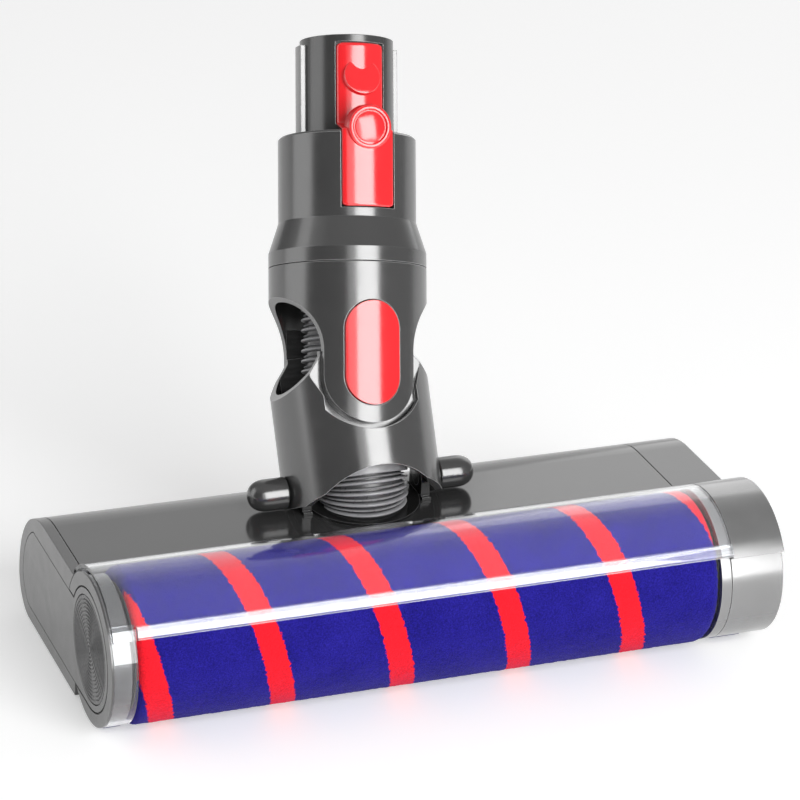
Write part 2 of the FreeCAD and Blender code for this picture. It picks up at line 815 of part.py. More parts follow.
def build_roller():
    """Soft roller: core tube, blue and red pile bands wound side by side on it, the hub and its stub."""
    start = pile_x.value
    length = pile_end_x.value - start
    outer = d.pile_r.value
    gap = d.band_gap.value
    inner = d.core_r.value + d.glue_gap.value
    pitch = d.stripe_pitch.value
    width = d.stripe_width.value
    anchor = d.stripe_front_x.value - width / 2 - 0.75 * pitch
    wound_from = anchor - pitch * (math.ceil((anchor - start + width) / pitch) + 1)
    turns = math.ceil((start + length - wound_from) / pitch) + 2
    reach = 2 * outer
    between_ends = Part.makeBox(length, 2 * reach, 2 * reach, V(start, -reach, -reach))
    ground = helical_bar(inner, outer, wound_from + width, pitch - width, pitch, turns)
    strip = helical_bar(inner, outer, wound_from + gap, width - 2 * gap, pitch, turns)
    solid_feature("pile_sleeve", ground.common(between_ends), ROLLER)
    solid_feature("red_strip", strip.common(between_ends), ROLLER)

    core_x = pile_x - 0.2
    core = [
        (core_x, core_in),
        (core_x, d.core_r),
        (pile_end_x + 0.4, d.core_r),
        (pile_end_x + 0.4, core_in),
    ]
    turned("roller_core", "X", core, ROLLER)

    hub_face = pile_end_x + 0.4
    seat = hub_face - d.stub_seat
    hub = [
        (pile_end_x - d.hub_thickness, 0.0),
        (pile_end_x - d.hub_thickness, core_in),
        (hub_face, core_in),
        (hub_face, d.stub_r),
        (seat, d.stub_r),
        (seat, 0.0),
    ]
    turned("roller_hub", "X", hub, ROLLER)

    stub_end = cap_x + d.bush_gap + d.stub_length
    stub = [
        (seat + 0.02, 0.0),
        (seat + 0.02, d.stub_r - 0.02),
        (hub_face, d.stub_r - 0.02),
        (hub_face, d.stub_r),
        (stub_end - 1, d.stub_r),
        (stub_end, d.stub_r - 1),
        (stub_end, 0.0),
    ]
    turned("roller_stub", "X", stub, ROLLER)


# Drive inside the roller
def build_drive():
    """Motor pod carried by the left end, with motor, shaft, bearing, bush and splined dog."""
    pod_in = d.pod_r - d.pod_wall
    pod = [
        (inner_left_x, d.shaft_r + 3),
        (inner_left_x, d.pod_r + 1.6),
        (inner_left_x + 2.2, d.pod_r + 1.6),
        (inner_left_x + 2.2, d.pod_r),
        (pod_end_x, d.pod_r),
        (pod_end_x, d.bearing_r - 2),
        (pod_end_x - 1.6, d.bearing_r - 2),
        (pod_end_x - 1.6, d.bearing_r),
        (pod_end_x - 1.6 - d.bearing_width, d.bearing_r),
        (pod_end_x - 1.6 - d.bearing_width, pod_in),
        (inner_left_x + 2.2, pod_in),
        (inner_left_x + 2.2, d.shaft_r + 3),
    ]
    turned("motor_pod", "X", pod, ROLLER)

    motor_x = inner_left_x + 2.4
    motor = [
        (motor_x, d.shaft_r + d.running_gap),
        (motor_x, d.motor_r),
        (motor_x + d.motor_length - 3, d.motor_r),
        (motor_x + d.motor_length, d.motor_r - 3),
        (motor_x + d.motor_length, d.shaft_r + d.running_gap),
    ]
    turned("motor", "X", motor, ROLLER)

    bearing_x = pod_end_x - 1.6 - d.bearing_width
    bearing = [
        (bearing_x, d.shaft_r + d.running_gap),
        (bearing_x, d.bearing_r - 0.02),
        (bearing_x + d.bearing_width, d.bearing_r - 0.02),
        (bearing_x + d.bearing_width, d.shaft_r + d.running_gap),
    ]
    turned("front_bearing", "X", bearing, ROLLER)

    dog_x = pod_end_x + 2.0
    shaft_x = left_x + d.panel_thickness + 1.0
    shaft = [
        (shaft_x, 0.0),
        (shaft_x, d.shaft_r),
        (dog_x + d.dog_length, d.shaft_r),
        (dog_x + d.dog_length, 0.0),
    ]
    turned("drive_shaft", "X", shaft, ROLLER)

    count = int(d.spline_count.value)
    root = d.dog_r - 2.2
    dog = cut(
        fuse(
            rod("X", (dog_x, 0, 0), root, d.dog_length),
            *[turned_block(360.0 * i / count, root - 2, dog_x, 4.2, 3.6, d.dog_length) for i in range(count)],
        ),
        rod("X", (dog_x - 1, 0, 0), d.shaft_r, d.dog_length + 2),
    )
    node("drive_dog", dog, ROLLER)
    gaps = [
        turned_block(360.0 * i / count, root - 2, dog_x - 1, 4.5, 4.0, d.dog_length + 2) for i in range(count)
    ]
    socket = cut(tube("X", (dog_x + 0.4, 0, 0), core_in, root + 0.2, d.dog_length), *gaps)
    node("drive_socket", socket, ROLLER)

    bush_x = pile_x + 2.0
    bush = [
        (bush_x, d.pod_r + d.running_gap),
        (bush_x, core_in),
        (bush_x + d.bush_width, core_in),
        (bush_x + d.bush_width, d.pod_r + d.running_gap),
    ]
    turned("roller_bush", "X", bush, ROLLER)


def pulley_section(start, radius, bore):
    """Section of a flanged pulley for a flat toothed belt."""
    width = d.pulley_width
    return [
        (start, bore),
        (start, radius + 1.0),
        (start + 0.4, radius + 1.0),
        (start + 0.4, radius),
        (start + width - 0.4, radius),
        (start + width - 0.4, radius + 1.0),
        (start + width, radius + 1.0),
        (start + width, bore),
    ]


def build_belt_drive():
    """Belt from the motor shaft to the rear brush, inside the left end."""
    start = left_x + d.panel_thickness + 1.2
    turned("motor_pulley", "X", pulley_section(start, d.pulley_r, d.shaft_r), ROLLER)
    turned("brush_pulley", "X", pulley_section(start, d.brush_pulley_r, d.brush_journal_r), BRUSH)

    width = d.pulley_width - 1.0
    outer = belt_loop(d.belt_thickness + 0.03, start + 0.5, width)
    inner = belt_loop(0.03, start + 0.5, width)
    belt = cut(outer, inner)
    belt.Label = "drive_belt"
    NODES["drive_belt"] = belt
    put_tilted(belt, ROLLER)


# Rear brush
def build_rear_brush():
    """Small brush behind the roller: spindle with journals, four bristle strips, two bushes."""
    left = inner_left_x + 3.4
    right = cap_x - 3.6
    journal_end = left_x + d.panel_thickness + 1.2
    spindle = [
        (journal_end, 0.0),
        (journal_end, d.brush_journal_r),
        (left, d.brush_journal_r),
        (left, d.spindle_r),
        (right, d.spindle_r),
        (right, d.brush_journal_r),
        (right + 3.0, d.brush_journal_r),
        (right + 3.0, 0.0),
    ]
    turned("brush_spindle", "X", spindle, BRUSH)
    length = right - left - 2
    strips = []
    for index in range(4):
        strip = box((left + 1, d.spindle_r - 0.6, -(d.strip_width / 2)),
                    (length, d.brush_r - d.spindle_r + 0.6, d.strip_width))
        strips.append(turn_about_x(strip, 45 + 90 * index))
    group = doc.addObject("Part::Compound", "Strips")
    group.Links = strips
    bristles = cut(group, rod("X", (left, 0, 0), d.spindle_r + 0.01, length + 2))
    node("brush_bristles", bristles, BRUSH)
    for label, start in (("brush_bush_left", inner_left_x + 0.4), ("brush_bush_right", cap_x - 3.2)):
        bush = [
            (start, d.brush_journal_r + d.running_gap),
            (start, d.brush_journal_r + 2.0),
            (start + 2.2, d.brush_journal_r + 2.0),
            (start + 2.2, d.brush_journal_r + d.running_gap),
        ]
        turned(label, "X", bush, BRUSH)


# Chassis and sole
SCREW_PLACES = (
    (d.screw_front_y, d.screw_high_z),
    (d.screw_middle_y, d.screw_high_z),
    (d.head_reach - d.screw_rear_setback, d.screw_low_z),
)


def screw_holes(start, length):
    return [rod("X", (start, y, z), d.screw_r + 0.02, length) for y, z in SCREW_PLACES]


def build_chassis():
    """Inner frame: end bulkheads, the wall behind the rear brush and the roof over it."""
    floor_z = d.housing_bottom + d.shell_wall + 0.1
    left = inner_left_x + 0.1
    right = cap_x - 0.6
    width = d.pulley_width
    front_y = d.pile_r + 1.6
    height = d.cover_top - d.shell_wall - 0.3 - floor_z
    depth = rear_upper_y - front_y
    bulkheads = []
    for start in (left, right - width):
        bulkheads.append(box((start, front_y, floor_z), (width, depth, height)))
        bulkheads.append(box((start, rear_upper_y - 1, floor_z), (width, d.head_reach - rear_upper_y - 10.8, 16.0)))
    thick = d.chamber_wall
    wall = box((left, chassis_y, floor_z), (right - left, thick, d.chamber_height + thick))
    roof = box((left, front_y, floor_z + d.chamber_height), (right - left, chassis_y - front_y + 1, thick))
    duct_hole = box((d.neck_x - d.duct_half + thick, d.pile_r + 5.0, floor_z + d.chamber_height - 4),
                    (2 * (d.duct_half - thick), chassis_y - d.pile_r - 8.3, 10.0))
    bush_holes = rod("X", (left - 1, brush_y, d.brush_z), d.brush_journal_r + 2.0, d.head_length)
    visor_space = rod("X", (left - 1, 0, roller_z), visor_out + 0.6, d.head_length)
    frame = cut(
        fuse(*bulkheads, wall, roof),
        duct_hole,
        bush_holes,
        visor_space,
        *screw_holes(left - 1, 12),
    )
    node("chassis", frame, HEAD)


def build_sole():
    """Flat sole with the brush slot, wheel openings and the lugs that hold the wheel axles."""
    bottom = d.housing_bottom
    thickness = d.shell_wall
    left = inner_left_x + 0.1
    length = cap_x - 0.4 - left
    front_y = 19.0
    rear_y = rear_lower_y - 2.9
    sole = box((left, front_y, bottom), (length, rear_y - front_y, thickness))
    slot = box((left + 3.2, brush_y - 9.2, bottom - 1), (length - 6.4, 18.4, thickness + 2))
    pieces = [sole]
    holes = [slot]
    for side in (-1, 1):
        x = side * d.wheel_x
        half = d.wheel_width / 2
        holes.append(box((x - half - 1.2, wheel_y - d.wheel_r - 1.2, bottom - 1),
                         (d.wheel_width + 2.4, 2 * d.wheel_r + 2.4, thickness + 2)))
        holes.append(rod("X", (x - 12, wheel_y, d.wheel_r), d.axle_r, 24))
        for edge in (x - half - 3.4, x + half + 1.2):
            pieces.append(box((edge, wheel_y - 4.0, bottom + thickness - 0.5), (2.2, 8.0, d.wheel_r + 1.0)))
    node("sole_plate", cut(fuse(*pieces), *holes), HEAD)

    for label, side in (("left", -1), ("right", 1)):
        place = Frame(side * d.wheel_x, roller_y + wheel_y, d.wheel_r)
        half = d.wheel_width / 2
        wheel = [
            (-half, d.axle_r + d.running_gap),
            (-half, d.wheel_r - 0.8),
            (0.8 - half, d.wheel_r),
            (half - 0.8, d.wheel_r),
            (half, d.wheel_r - 0.8),
            (half, d.axle_r + d.running_gap),
        ]
        turned(f"wheel_{label}", "X", wheel, place)
        reach = half + 3.4
        axle = [(-reach, 0.0), (-reach, d.axle_r), (reach, d.axle_r), (reach, 0.0)]
        turned(f"wheel_axle_{label}", "X", axle, place)


def build_air_duct():
    """Air duct from the roof over the rear brush back and up to the neck bracket's socket."""
    wall = 1.4
    low = d.housing_bottom + d.shell_wall + 0.1 + d.chamber_height + d.chamber_wall + 0.1
    high = d.cover_top - d.socket_depth - d.part_gap
    front_y = d.pile_r + 3.3
    back_y = d.pivot_y + 15.0
    half = d.duct_half

    def side_outline(inset, drop):
        return [
            (front_y + inset, low - drop),
            (chassis_y + 0.5 - inset, low - drop),
            (back_y - inset, (low + high) / 2 - 0.15 + inset),
            (back_y - inset, high - inset),
            (front_y + inset, high - inset),
        ]

    outer = prism("YZ", side_outline(0, 0), d.neck_x - half, 2 * half)
    inner = prism("YZ", side_outline(wall, 1), d.neck_x - half + wall, 2 * (half - wall))
    outlet = rod("Z", (d.neck_x, d.pivot_y - 1.6, high - 3), d.hose_r - 2.0, 6)
    node("air_duct", cut(outer, inner, outlet), HEAD)


def build_screws():
    """Pan-head screws that hold the left end to the chassis, as one group."""
    screws = []
    seat_x = inner_left_x.value - 1.8
    thick = d.screw_head.value
    for y, z in SCREW_PLACES:
        foot = V(seat_x, y.value, z.value)
        shank = Part.makeCylinder(d.screw_r.value, d.screw_length.value, foot, V(1, 0, 0))
        head = Part.makeCylinder(d.screw_head_r.value, thick, foot - V(thick, 0, 0), V(1, 0, 0))
        screws.append(shank.fuse(head).removeSplitter())
    solid_feature("housing_screws", Part.makeCompound(screws), HEAD)


# Neck bracket and knobs
def build_neck_bracket():
    """Black bracket on the cover: a socket through the cover, a flange and two pivot ears."""
    drop = -(d.pivot_rise)
    reach = d.ear_inside + d.ear_thickness
    collar_r = d.hose_cuff_r + 0.5
    flange = rod("Z", (0, -1.6, drop), collar_r + 3.0, 1.2)
    socket = rod("Z", (0, -1.6, drop - d.socket_depth), collar_r, d.socket_depth + 1.0)
    bore = rod("Z", (0, -1.6, drop - d.socket_depth - 2.0), d.hose_r - 2.0, d.socket_depth + 6.0)
    ears = []
    for side in (-1, 1):
        near = side * d.ear_inside if side > 0 else -reach
        ears.append(rod("X", (near, 0, 0), d.ear_r, d.ear_thickness))
        ears.append(box((near, -d.ear_r, drop), (d.ear_thickness, 2 * d.ear_r, d.pivot_rise)))
        ears.append(box((near, -d.ear_r - 1.5, drop), (d.ear_thickness, 2 * d.ear_r + 3.0, 1.2)))
    link = box((-reach, -4.5, drop), (2 * reach, 9.0, 1.2))
    pin_hole = rod("X", (-reach - 1, 0, 0), d.knob_pin_r, 2 * reach + 2)
    bracket = cut(fuse(flange, socket, link, *ears), bore, pin_hole)
    node("neck_bracket", bracket, TILT)


def build_knobs():
    """Bullet-shaped pivot knobs, each with the pin that runs through the yoke into its ear."""
    face = d.yoke_r + 0.35
    tip = face + d.knob_length
    profile = [
        (d.ear_inside, 0.0),
        (d.ear_inside, d.knob_pin_r),
        (face, d.knob_pin_r),
        (face, d.knob_r),
        (face + d.knob_length * 0.45, d.knob_r),
        (face + d.knob_length * 0.75, d.knob_r * 0.88),
        (face + d.knob_length * 0.92, d.knob_r * 0.62),
        (tip, d.knob_r * 0.3),
        (tip, 0.0),
    ]
    turned("pivot_knob_right", "X", profile, TILT)
    mirrored = [(-p[0], p[1], -as_dim(p[2])) if len(p) > 2 else (-p[0], p[1]) for p in profile]
    turned("pivot_knob_left", "X", mirrored, TILT)


# Yoke
def build_yoke():
    """Lower neck: a barrel cut into two legs and four horns, with flat ears for the swivel pins."""
    outer = d.yoke_r
    inner = d.yoke_r - d.yoke_wall
    bottom = -d.yoke_foot
    height = d.yoke_horn_top - bottom
    barrel = tube("Z", (0, 0, bottom), outer, inner, height)
    face = d.plate_face
    thickness = d.plate_thickness
    half = 20.3
    ears = [
        box((-half, face - thickness, 16.0), (2 * half, thickness, d.yoke_horn_top - 16.0)),
        box((-half, -face, 8.0), (2 * half, thickness, d.yoke_horn_top - 8.0)),
    ]
    rib_r = 23.4
    front_rib = common(
        tube("Z", (0, 0, 6.0), inner + 0.5, rib_r, 12.2),
        box((-half, -outer, 4.0), (2 * half, outer, 30.0)),
    )
    solid = fuse(barrel, *ears, front_rib)

    side = d.yoke_side_top
    top = d.yoke_horn_top
    above = [
        (outer + 3, side),
        (outer + 3, top + 3),
        (16.2, top + 3),
        (16.2, top - 1.5),
        (outer, side, 60.0),
    ]
    left_above = [(-p[0], p[1], -as_dim(p[2])) if len(p) > 2 else (-as_dim(p[0]), p[1]) for p in above]
    top_cuts = [
        prism("XZ", above, -outer - 5, 2 * outer + 10),
        prism("XZ", left_above, -outer - 5, 2 * outer + 10),
    ]

    arch = rod("Y", (-1.2, -outer - 5, d.arch_top - d.arch_r), d.arch_r, outer + 5)
    rear = prism("YZ", [(1.8, bottom - 2), (outer + 5, bottom - 2), (outer + 5, 24.2), (29.0, 21.6),
                        (20.0, 17.0), (14.0, 12.6), (5.0, -3.6), (1.8, bottom)], -outer - 2, 2 * outer + 4)
    front = prism("YZ", [(-3.0, bottom - 2), (-3.0, bottom), (-12.0, bottom + 0.2), (-18.0, -3.4),
                         (-outer - 5, 3.4), (-outer - 5, bottom - 2)], -outer - 2, 2 * outer + 4)

    corner = 17.5
    up = d.swivel_up
    recess_profile = [
        (-corner, 27.0),
        (corner, 27.0, 21.9),
        (corner, up - 5.0),
        (corner + 4.2, up + 4.4),
        (corner + 8, top + 3),
        (-corner - 8, top + 3),
        (-corner - 4.2, up + 4.4),
        (-corner, up - 5.0),
    ]
    recess = prism("XZ", recess_profile, -outer - 2, outer + 2 - face)
    back_recess = prism("XZ", recess_profile, face, outer + 2 - face)
    pin_hole = rod("Y", (0, -outer, up), d.swivel_pin_r + d.running_gap, 2 * outer)
    knob_hole = rod("X", (-outer - 1, 0, 0), d.knob_pin_r + d.running_gap, 2 * outer + 2)
    hose_space = rod("Z", (0, 0, bottom - 1), d.hose_r + 0.5, height + 2)
    node("yoke", cut(solid, *top_cuts, arch, rear, front, recess, back_recess, pin_hole, knob_hole,
                     hose_space), YOKE)


# Saddle
def build_saddle():
    """Upper neck: a barrel with deep side scallops that leave a tongue in front and behind."""
    outer = d.saddle_r
    inner = outer - d.saddle_wall
    low = -d.tongue_r
    top = d.saddle_top
    back = d.plate_face + d.part_gap
    barrel = cut(
        rod("Z", (0, 0, low - 1), outer, top - low + 1),
        rod("Z", (0, 0, low - 2), inner, top - low + 4),
    )
    block = common(
        rod("Z", (0, 0, low - 1), outer - 0.01, d.scallop_z + 12 - low),
        fuse(
            box((-outer, back, low - 2), (2 * outer, 12.0, 60.0)),
            box((-outer, -back - 12.0, low - 2), (2 * outer, 12.0, 60.0)),
        ),
    )
    wide = d.scallop_r + d.tongue_r
    rise = leg_of(d.scallop_r, wide - outer - 1)
    tongue_profile = [
        (0.0, low, d.tongue_r),
        (d.tongue_r, 0.0, d.tongue_r),
        (d.tongue_r, d.scallop_z),
        (outer + 1, d.scallop_z + rise, -d.scallop_r),
        (outer + 1, top + 1),
        (-outer - 1, top + 1),
        (-outer - 1, d.scallop_z + rise),
        (-d.tongue_r, d.scallop_z, -d.scallop_r),
        (-d.tongue_r, 0.0),
    ]
    tongue = prism("XZ", tongue_profile, -outer - 1, 2 * outer + 2)
    shape = common(fuse(barrel, block), tongue)

    pockets = []
    for side in (-1, 1):
        depth = d.pill_depth
        start = outer - depth if side > 0 else -outer - 6
        pockets.append(pill(d.pill_width / 2 + 0.4, d.pill_height / 2 + 0.4, start, depth + 6))
        pin_start = back - 1 if side > 0 else -25.0
        pockets.append(rod("Y", (0, pin_start, 0), d.swivel_pin_r, 26.0 - back))
    node("saddle", cut(shape, *pockets), NECK)

    for label, side in (("front", -1), ("rear", 1)):
        start = d.saddle_r - d.pill_depth + 0.02 if side > 0 else -d.saddle_r - 3
        blank = pill(d.pill_width / 2, d.pill_height / 2, start, d.pill_depth + 3)
        dome = rod("Z", (0, 0, -40.0), d.saddle_r + d.pill_proud, 90.0)
        behind = box((-15, -(d.saddle_r - d.pill_depth + 0.02) if side < 0 else -40, -30),
                     (30, d.saddle_r + 20 if side < 0 else 40 + d.saddle_r - d.pill_depth, 80))
        cover = common(blank, dome)
        node(f"pivot_cover_{label}", cut(cover, behind) if side < 0 else cover, NECK)
        near = (d.plate_face - d.plate_thickness) * side
        pin = [(near, 0.0), (near, d.swivel_pin_r), (24.9 * side, d.swivel_pin_r), (24.9 * side, 0.0)]
        turned(f"swivel_pin_{label}", "Y", pin, NECK)


def pill(half_width, half_height, start, length):
    """A pill outline about the cover's middle, pulled along Y."""
    straight = half_height - half_width
    z = d.pill_z
    outline = [
        (half_width, z - straight, half_width),
        (half_width, z + straight),
        (0.0, z + half_height, half_width),
        (-half_width, z + straight, half_width),
        (-half_width, z - straight),
        (0.0, z - half_height, half_width),
    ]
    return prism("XZ", outline, start, length)


# Collar and spigot
def build_collar():
    """Collar: a cone-shouldered cup that joins the saddle to the spigot, slotted for the latch."""
    wall = d.collar_wall
    base = d.saddle_top + d.seam_gap
    profile = [
        (base, d.saddle_r - wall),
        (base, d.saddle_r),
        (d.collar_crease, d.saddle_r),
        (d.collar_cone_top, d.collar_r),
        (d.collar_top - 0.8, d.collar_r),
        (d.collar_top, d.collar_r - 0.8),
        (d.collar_top, d.spigot_r),
        (d.collar_top - wall, d.spigot_r),
        (d.collar_top - wall, d.collar_r - wall),
        (d.collar_cone_top, d.collar_r - wall),
        (d.collar_crease, d.saddle_r - wall),
    ]
    shell = turned(None, "Z", profile, NECK)
    half = d.latch_low_width / 2 + d.latch_gap
    slot = box((-half, -d.collar_r - 4, d.latch_bottom - d.latch_gap), (2 * half, 24.0, 40.0))
    pin_y = -d.collar_r + wall + d.latch_pivot_depth
    pin_hole = rod("X", (-half - 2.4, pin_y, d.latch_pivot_z), d.latch_pin_r, 2 * half + 4.8)
    web_y = -d.collar_r + wall - 0.3
    web = box((-half - 2.4, web_y, d.latch_pivot_z - 3.0), (2.41, 5.2, 6.0))
    web_right = box((half - 0.01, web_y, d.latch_pivot_z - 3.0), (2.41, 5.2, 6.0))
    inside = rod("Z", (0, 0, d.latch_pivot_z - 4.0), d.collar_r - 0.4, 8.0)
    webs = common(fuse(web, web_right), inside)
    body = cut(fuse(cut(shell, slot), webs), pin_hole)
    node("collar", body, NECK)

    pin_half = half + 2.3
    pin_place = (-pin_half, pin_y, d.latch_pivot_z)
    node("latch_pin", tube("X", pin_place, d.latch_pin_r, d.latch_pin_r / 2, 2 * pin_half), NECK)


def build_spigot():
    """Spigot tube with a window for the latch, its side rails, and the inner duct."""
    base = d.saddle_top + 6.0
    wall = d.spigot_wall
    height = d.spigot_top - base
    body = tube("Z", (0, 0, base), d.spigot_r, d.spigot_r - wall, height)
    foot = tube("Z", (0, 0, base), d.collar_r - d.collar_wall + 0.9, d.spigot_r - wall, 2.0)
    half = d.latch_high_width / 2 + d.latch_gap
    window_z = d.collar_top + 3.0
    window = box((-half, -d.spigot_r - 2, window_z), (2 * half, 10.0, d.latch_top + d.latch_gap - window_z))
    node("spigot_tube", cut(fuse(body, foot), window), NECK)

    rail_base = d.collar_top + 0.1
    rail_height = d.rail_top - rail_base
    for label, side in (("left", -1), ("right", 1)):
        outer = rod("Z", (0, 0, rail_base), d.spigot_r + d.rail_proud, rail_height)
        inner = rod("Z", (0, 0, rail_base - 1), d.spigot_r + 0.02, rail_height + 2)
        span = box((0 if side > 0 else -2 * d.spigot_r, -(d.rail_width / 2), rail_base),
                   (2 * d.spigot_r, d.rail_width, rail_height))
        node(f"rail_{label}", common(cut(outer, inner), span), NECK)

    duct = [
        (d.hose_top + 0.3, d.duct_r - d.duct_wall),
        (d.hose_top + 0.3, d.hose_r),
        (d.hose_top + 2.3, d.hose_r),
        (d.hose_top + 8.0, d.duct_r),
        (d.spigot_top - 2.2, d.duct_r),
        (d.spigot_top - 2.2, d.spigot_r - wall - 0.02),
        (d.spigot_top - 0.8, d.spigot_r - wall - 0.02),
        (d.spigot_top - 0.8, d.duct_r - d.duct_wall),
    ]
    turned("inner_duct", "Z", duct, NECK)


def build_plug():
    """Housing of the electrical plug behind the spigot, with its contact pins."""
    half = d.plug_width / 2
    base = d.collar_top + 0.02
    block = box((-half, d.spigot_r - 4, base), (d.plug_width, d.plug_reach - d.spigot_r + 4, d.plug_height))
    round_off = rod("Z", (0, 4.0, base - 1), d.plug_reach - 4.6, d.plug_height + 2)
    tube_space = rod("Z", (0, 0, base - 1), d.spigot_r + 0.05, d.plug_height + 2)
    socket = box((-half + 2.4, d.spigot_r + 2.2, base + 3.0), (d.plug_width - 4.8, 4.4, d.plug_height))
    node("plug_housing", cut(common(block, round_off), tube_space, socket), NECK)
    pins = []
    for index in range(3):
        x = -5.0 + 5.0 * index
        height = d.plug_height.value - 5.0
        centre = V(x, d.spigot_r.value + 4.4, base.value + 3.0)
        pins.append(Part.makeCylinder(0.9, height, centre))
    solid_feature("contact_pins", Part.makeCompound(pins), NECK)


# Latch
def build_latch():
    """Rocking latch: a wide lower plate, a round button over a stem and a narrow tongue with its catch."""
    low_r = d.collar_r + 0.35
    low_half = d.latch_low_width / 2
    high_r = d.spigot_r + 0.3
    high_half = d.latch_high_width / 2
    low_top = d.button_z
    tongue_z = d.collar_top + 3.0 + d.latch_gap

    def shell(radius, thickness, half, start, end):
        outer = rod("Z", (0, 0, start), radius, end - start)
        inner = rod("Z", (0, 0, start - 1), radius - thickness, end - start + 2)
        span = box((-half, -radius - 1, start), (2 * half, radius, end - start))
        return common(cut(outer, inner), span)

    low = shell(low_r, d.latch_thickness, low_half, d.latch_bottom, low_top)
    tongue = shell(high_r, d.latch_tongue_thickness, high_half, tongue_z, d.latch_top)
    stem_foot = d.spigot_r + 1.4
    face = d.collar_r + d.button_proud
    button = rod("Y", (0, -face, d.button_z), d.button_r, face - stem_foot)
    groove = cut(
        rod("Y", (0, -face - 1, d.button_z), d.button_r - 1.6, 1.7),
        rod("Y", (0, -face - 2, d.button_z), d.button_r - 2.6, 4),
    )
    knee = common(
        box((-high_half, -stem_foot - 2.0, tongue_z), (2 * high_half, 5.0, 4.6)),
        fuse(
            rod("Y", (0, -face, d.button_z), d.button_r, face),
            box((-high_half, -stem_foot, tongue_z), (2 * high_half, 4.0, 5.0)),
        ),
    )
    catch = rod("Y", (0, -high_r - d.catch_proud + 0.3, d.catch_z), d.catch_r, 3.0)
    pivot_y = -d.collar_r + d.collar_wall + d.latch_pivot_depth
    boss = box((-low_half + 2.6, -low_r + d.latch_thickness - 0.8, d.latch_pivot_z - 2.6),
               (d.latch_low_width - 5.2, 5.3, 5.2))
    pin_hole = rod("X", (-15, pivot_y, d.latch_pivot_z), d.latch_pin_r + d.running_gap, 30)
    duct_space = rod("Z", (0, 0, d.latch_bottom - 1), d.spigot_r - d.spigot_wall + 0.1, 70)
    tube_space = rod("Z", (0, 0, d.latch_bottom - 1), d.spigot_r + 0.9, d.collar_top + 2.4 - d.latch_bottom)
    spring_pocket = rod("Y", (0, -d.collar_r - 0.4, d.button_z - 1.6), d.spring_r + 0.6, 12)
    latch = cut(
        fuse(low, tongue, button, knee, catch, boss),
        groove,
        pin_hole,
        tube_space,
        spring_pocket,
        duct_space,
    )
    node("release_latch", latch, NECK)

    wire = d.spring_wire.value / 2
    radius = d.spring_r.value
    seat = -d.spigot_r.value - 0.05
    head = -d.collar_r.value - 0.3
    length = seat - head - 2 * wire
    coil = Part.makeHelix(length / 3, length, radius)
    corners = [V(radius - wire, 0, -wire), V(radius + wire, 0, -wire)]
    corners += [V(radius + wire, 0, wire), V(radius - wire, 0, wire)]
    section = Part.makePolygon(corners + corners[:1])
    spring = Part.Wire(coil.Edges).makePipeShell([section], True, True)
    spring.rotate(V(0, 0, 0), V(1, 0, 0), -90)
    spring.translate(V(0, head + wire, (d.button_z - 1.6).value))
    solid_feature("latch_spring", Part.makeCompound([spring]), NECK)


# Hose
def build_hose():
    """Air hose: bellows out of the bracket, a smooth cuff, then up through both pivots to the duct."""
    outer = d.hose_r.value
    bore = outer - d.hose_wall.value
    lean = d.lean.value
    up = d.swivel_up.value
    low = d.hose_cuff_low.value
    high = d.hose_cuff_high.value

    root = outer - 1.3
    pitch = d.hose_pitch.value

    def sleeve(start, end, radius):
        tube_wall = Part.makeCylinder(radius, end - start, V(0, 0, start))
        return tube_wall.cut(Part.makeCylinder(bore, end - start, V(0, 0, start)))

    def ribs(start, end):
        """Whole V-shaped ribs that fit between two heights."""
        count = int((end - start) / pitch)
        points = [V(root - 0.4, 0, start)]
        for index in range(count):
            points.append(V(root, 0, start + pitch * index))
            points.append(V(outer, 0, start + pitch * (index + 0.5)))
        points.append(V(root, 0, start + pitch * count))
        points.append(V(root - 0.4, 0, start + pitch * count))
        face = Part.Face(Part.makePolygon(points + points[:1]))
        return face.revolve(V(0, 0, 0), V(0, 0, 1), 360)

    half_lean = FreeCAD.Placement(V(0, 0, 0), FreeCAD.Rotation(V(1, 0, 0), -lean / 2))
    full_lean = FreeCAD.Placement(V(0, 0, 0), FreeCAD.Rotation(V(1, 0, 0), -lean))
    swivel = FreeCAD.Placement(V(0, 0, up), FreeCAD.Rotation(V(0, 1, 0), d.swivel.value))
    bellows = sleeve(low - 12.0, low, root).fuse(ribs(low - 12.0, low + 0.01))
    lower = bellows.fuse(sleeve(low, high, d.hose_cuff_r.value))
    lower.Placement = half_lean
    under = Part.makeBox(80, 80, 40, V(-40, -40, -40.0 - d.pivot_rise.value + 1.25))
    middle = sleeve(high - 1.0, up, root).fuse(ribs(high + 0.8, up - 6.0))
    middle.Placement = full_lean
    upper = sleeve(0, d.hose_top.value, root).fuse(ribs(3.0, d.hose_top.value))
    upper.Placement = full_lean * swivel
    hollow = [Part.makeCylinder(bore, 24, V(0, 0, -12)), Part.makeCylinder(bore, up), Part.makeCylinder(bore, 60)]
    for cylinder, placement in zip(hollow, (half_lean, full_lean, full_lean * swivel)):
        cylinder.Placement = placement
    lower = lower.cut(under).cut(hollow)
    joint = Part.makeCylinder(outer + 4, 24, V(0, 0, high - 24 + 0.02))
    joint.Placement = half_lean
    solid_feature("hose_bellows", Part.makeCompound([lower.removeSplitter()]), TILT)
    hose = middle.fuse(upper).cut([joint, *hollow])
    solid_feature("air_hose", Part.makeCompound([hose.removeSplitter()]), TILT)


def build_all():
    build_top_cover()
    build_right_section()
    build_left_end()
    build_visor()
    build_bayonet_ring()
    build_end_cap()
    build_felts()
    build_roller()
    build_drive()
    build_belt_drive()
    build_rear_brush()
    build_chassis()
    build_sole()
    build_air_duct()
    build_screws()
    build_neck_bracket()
    build_knobs()
    build_yoke()
    build_saddle()
    build_collar()
    build_spigot()
    build_plug()
    build_latch()
    build_hose()


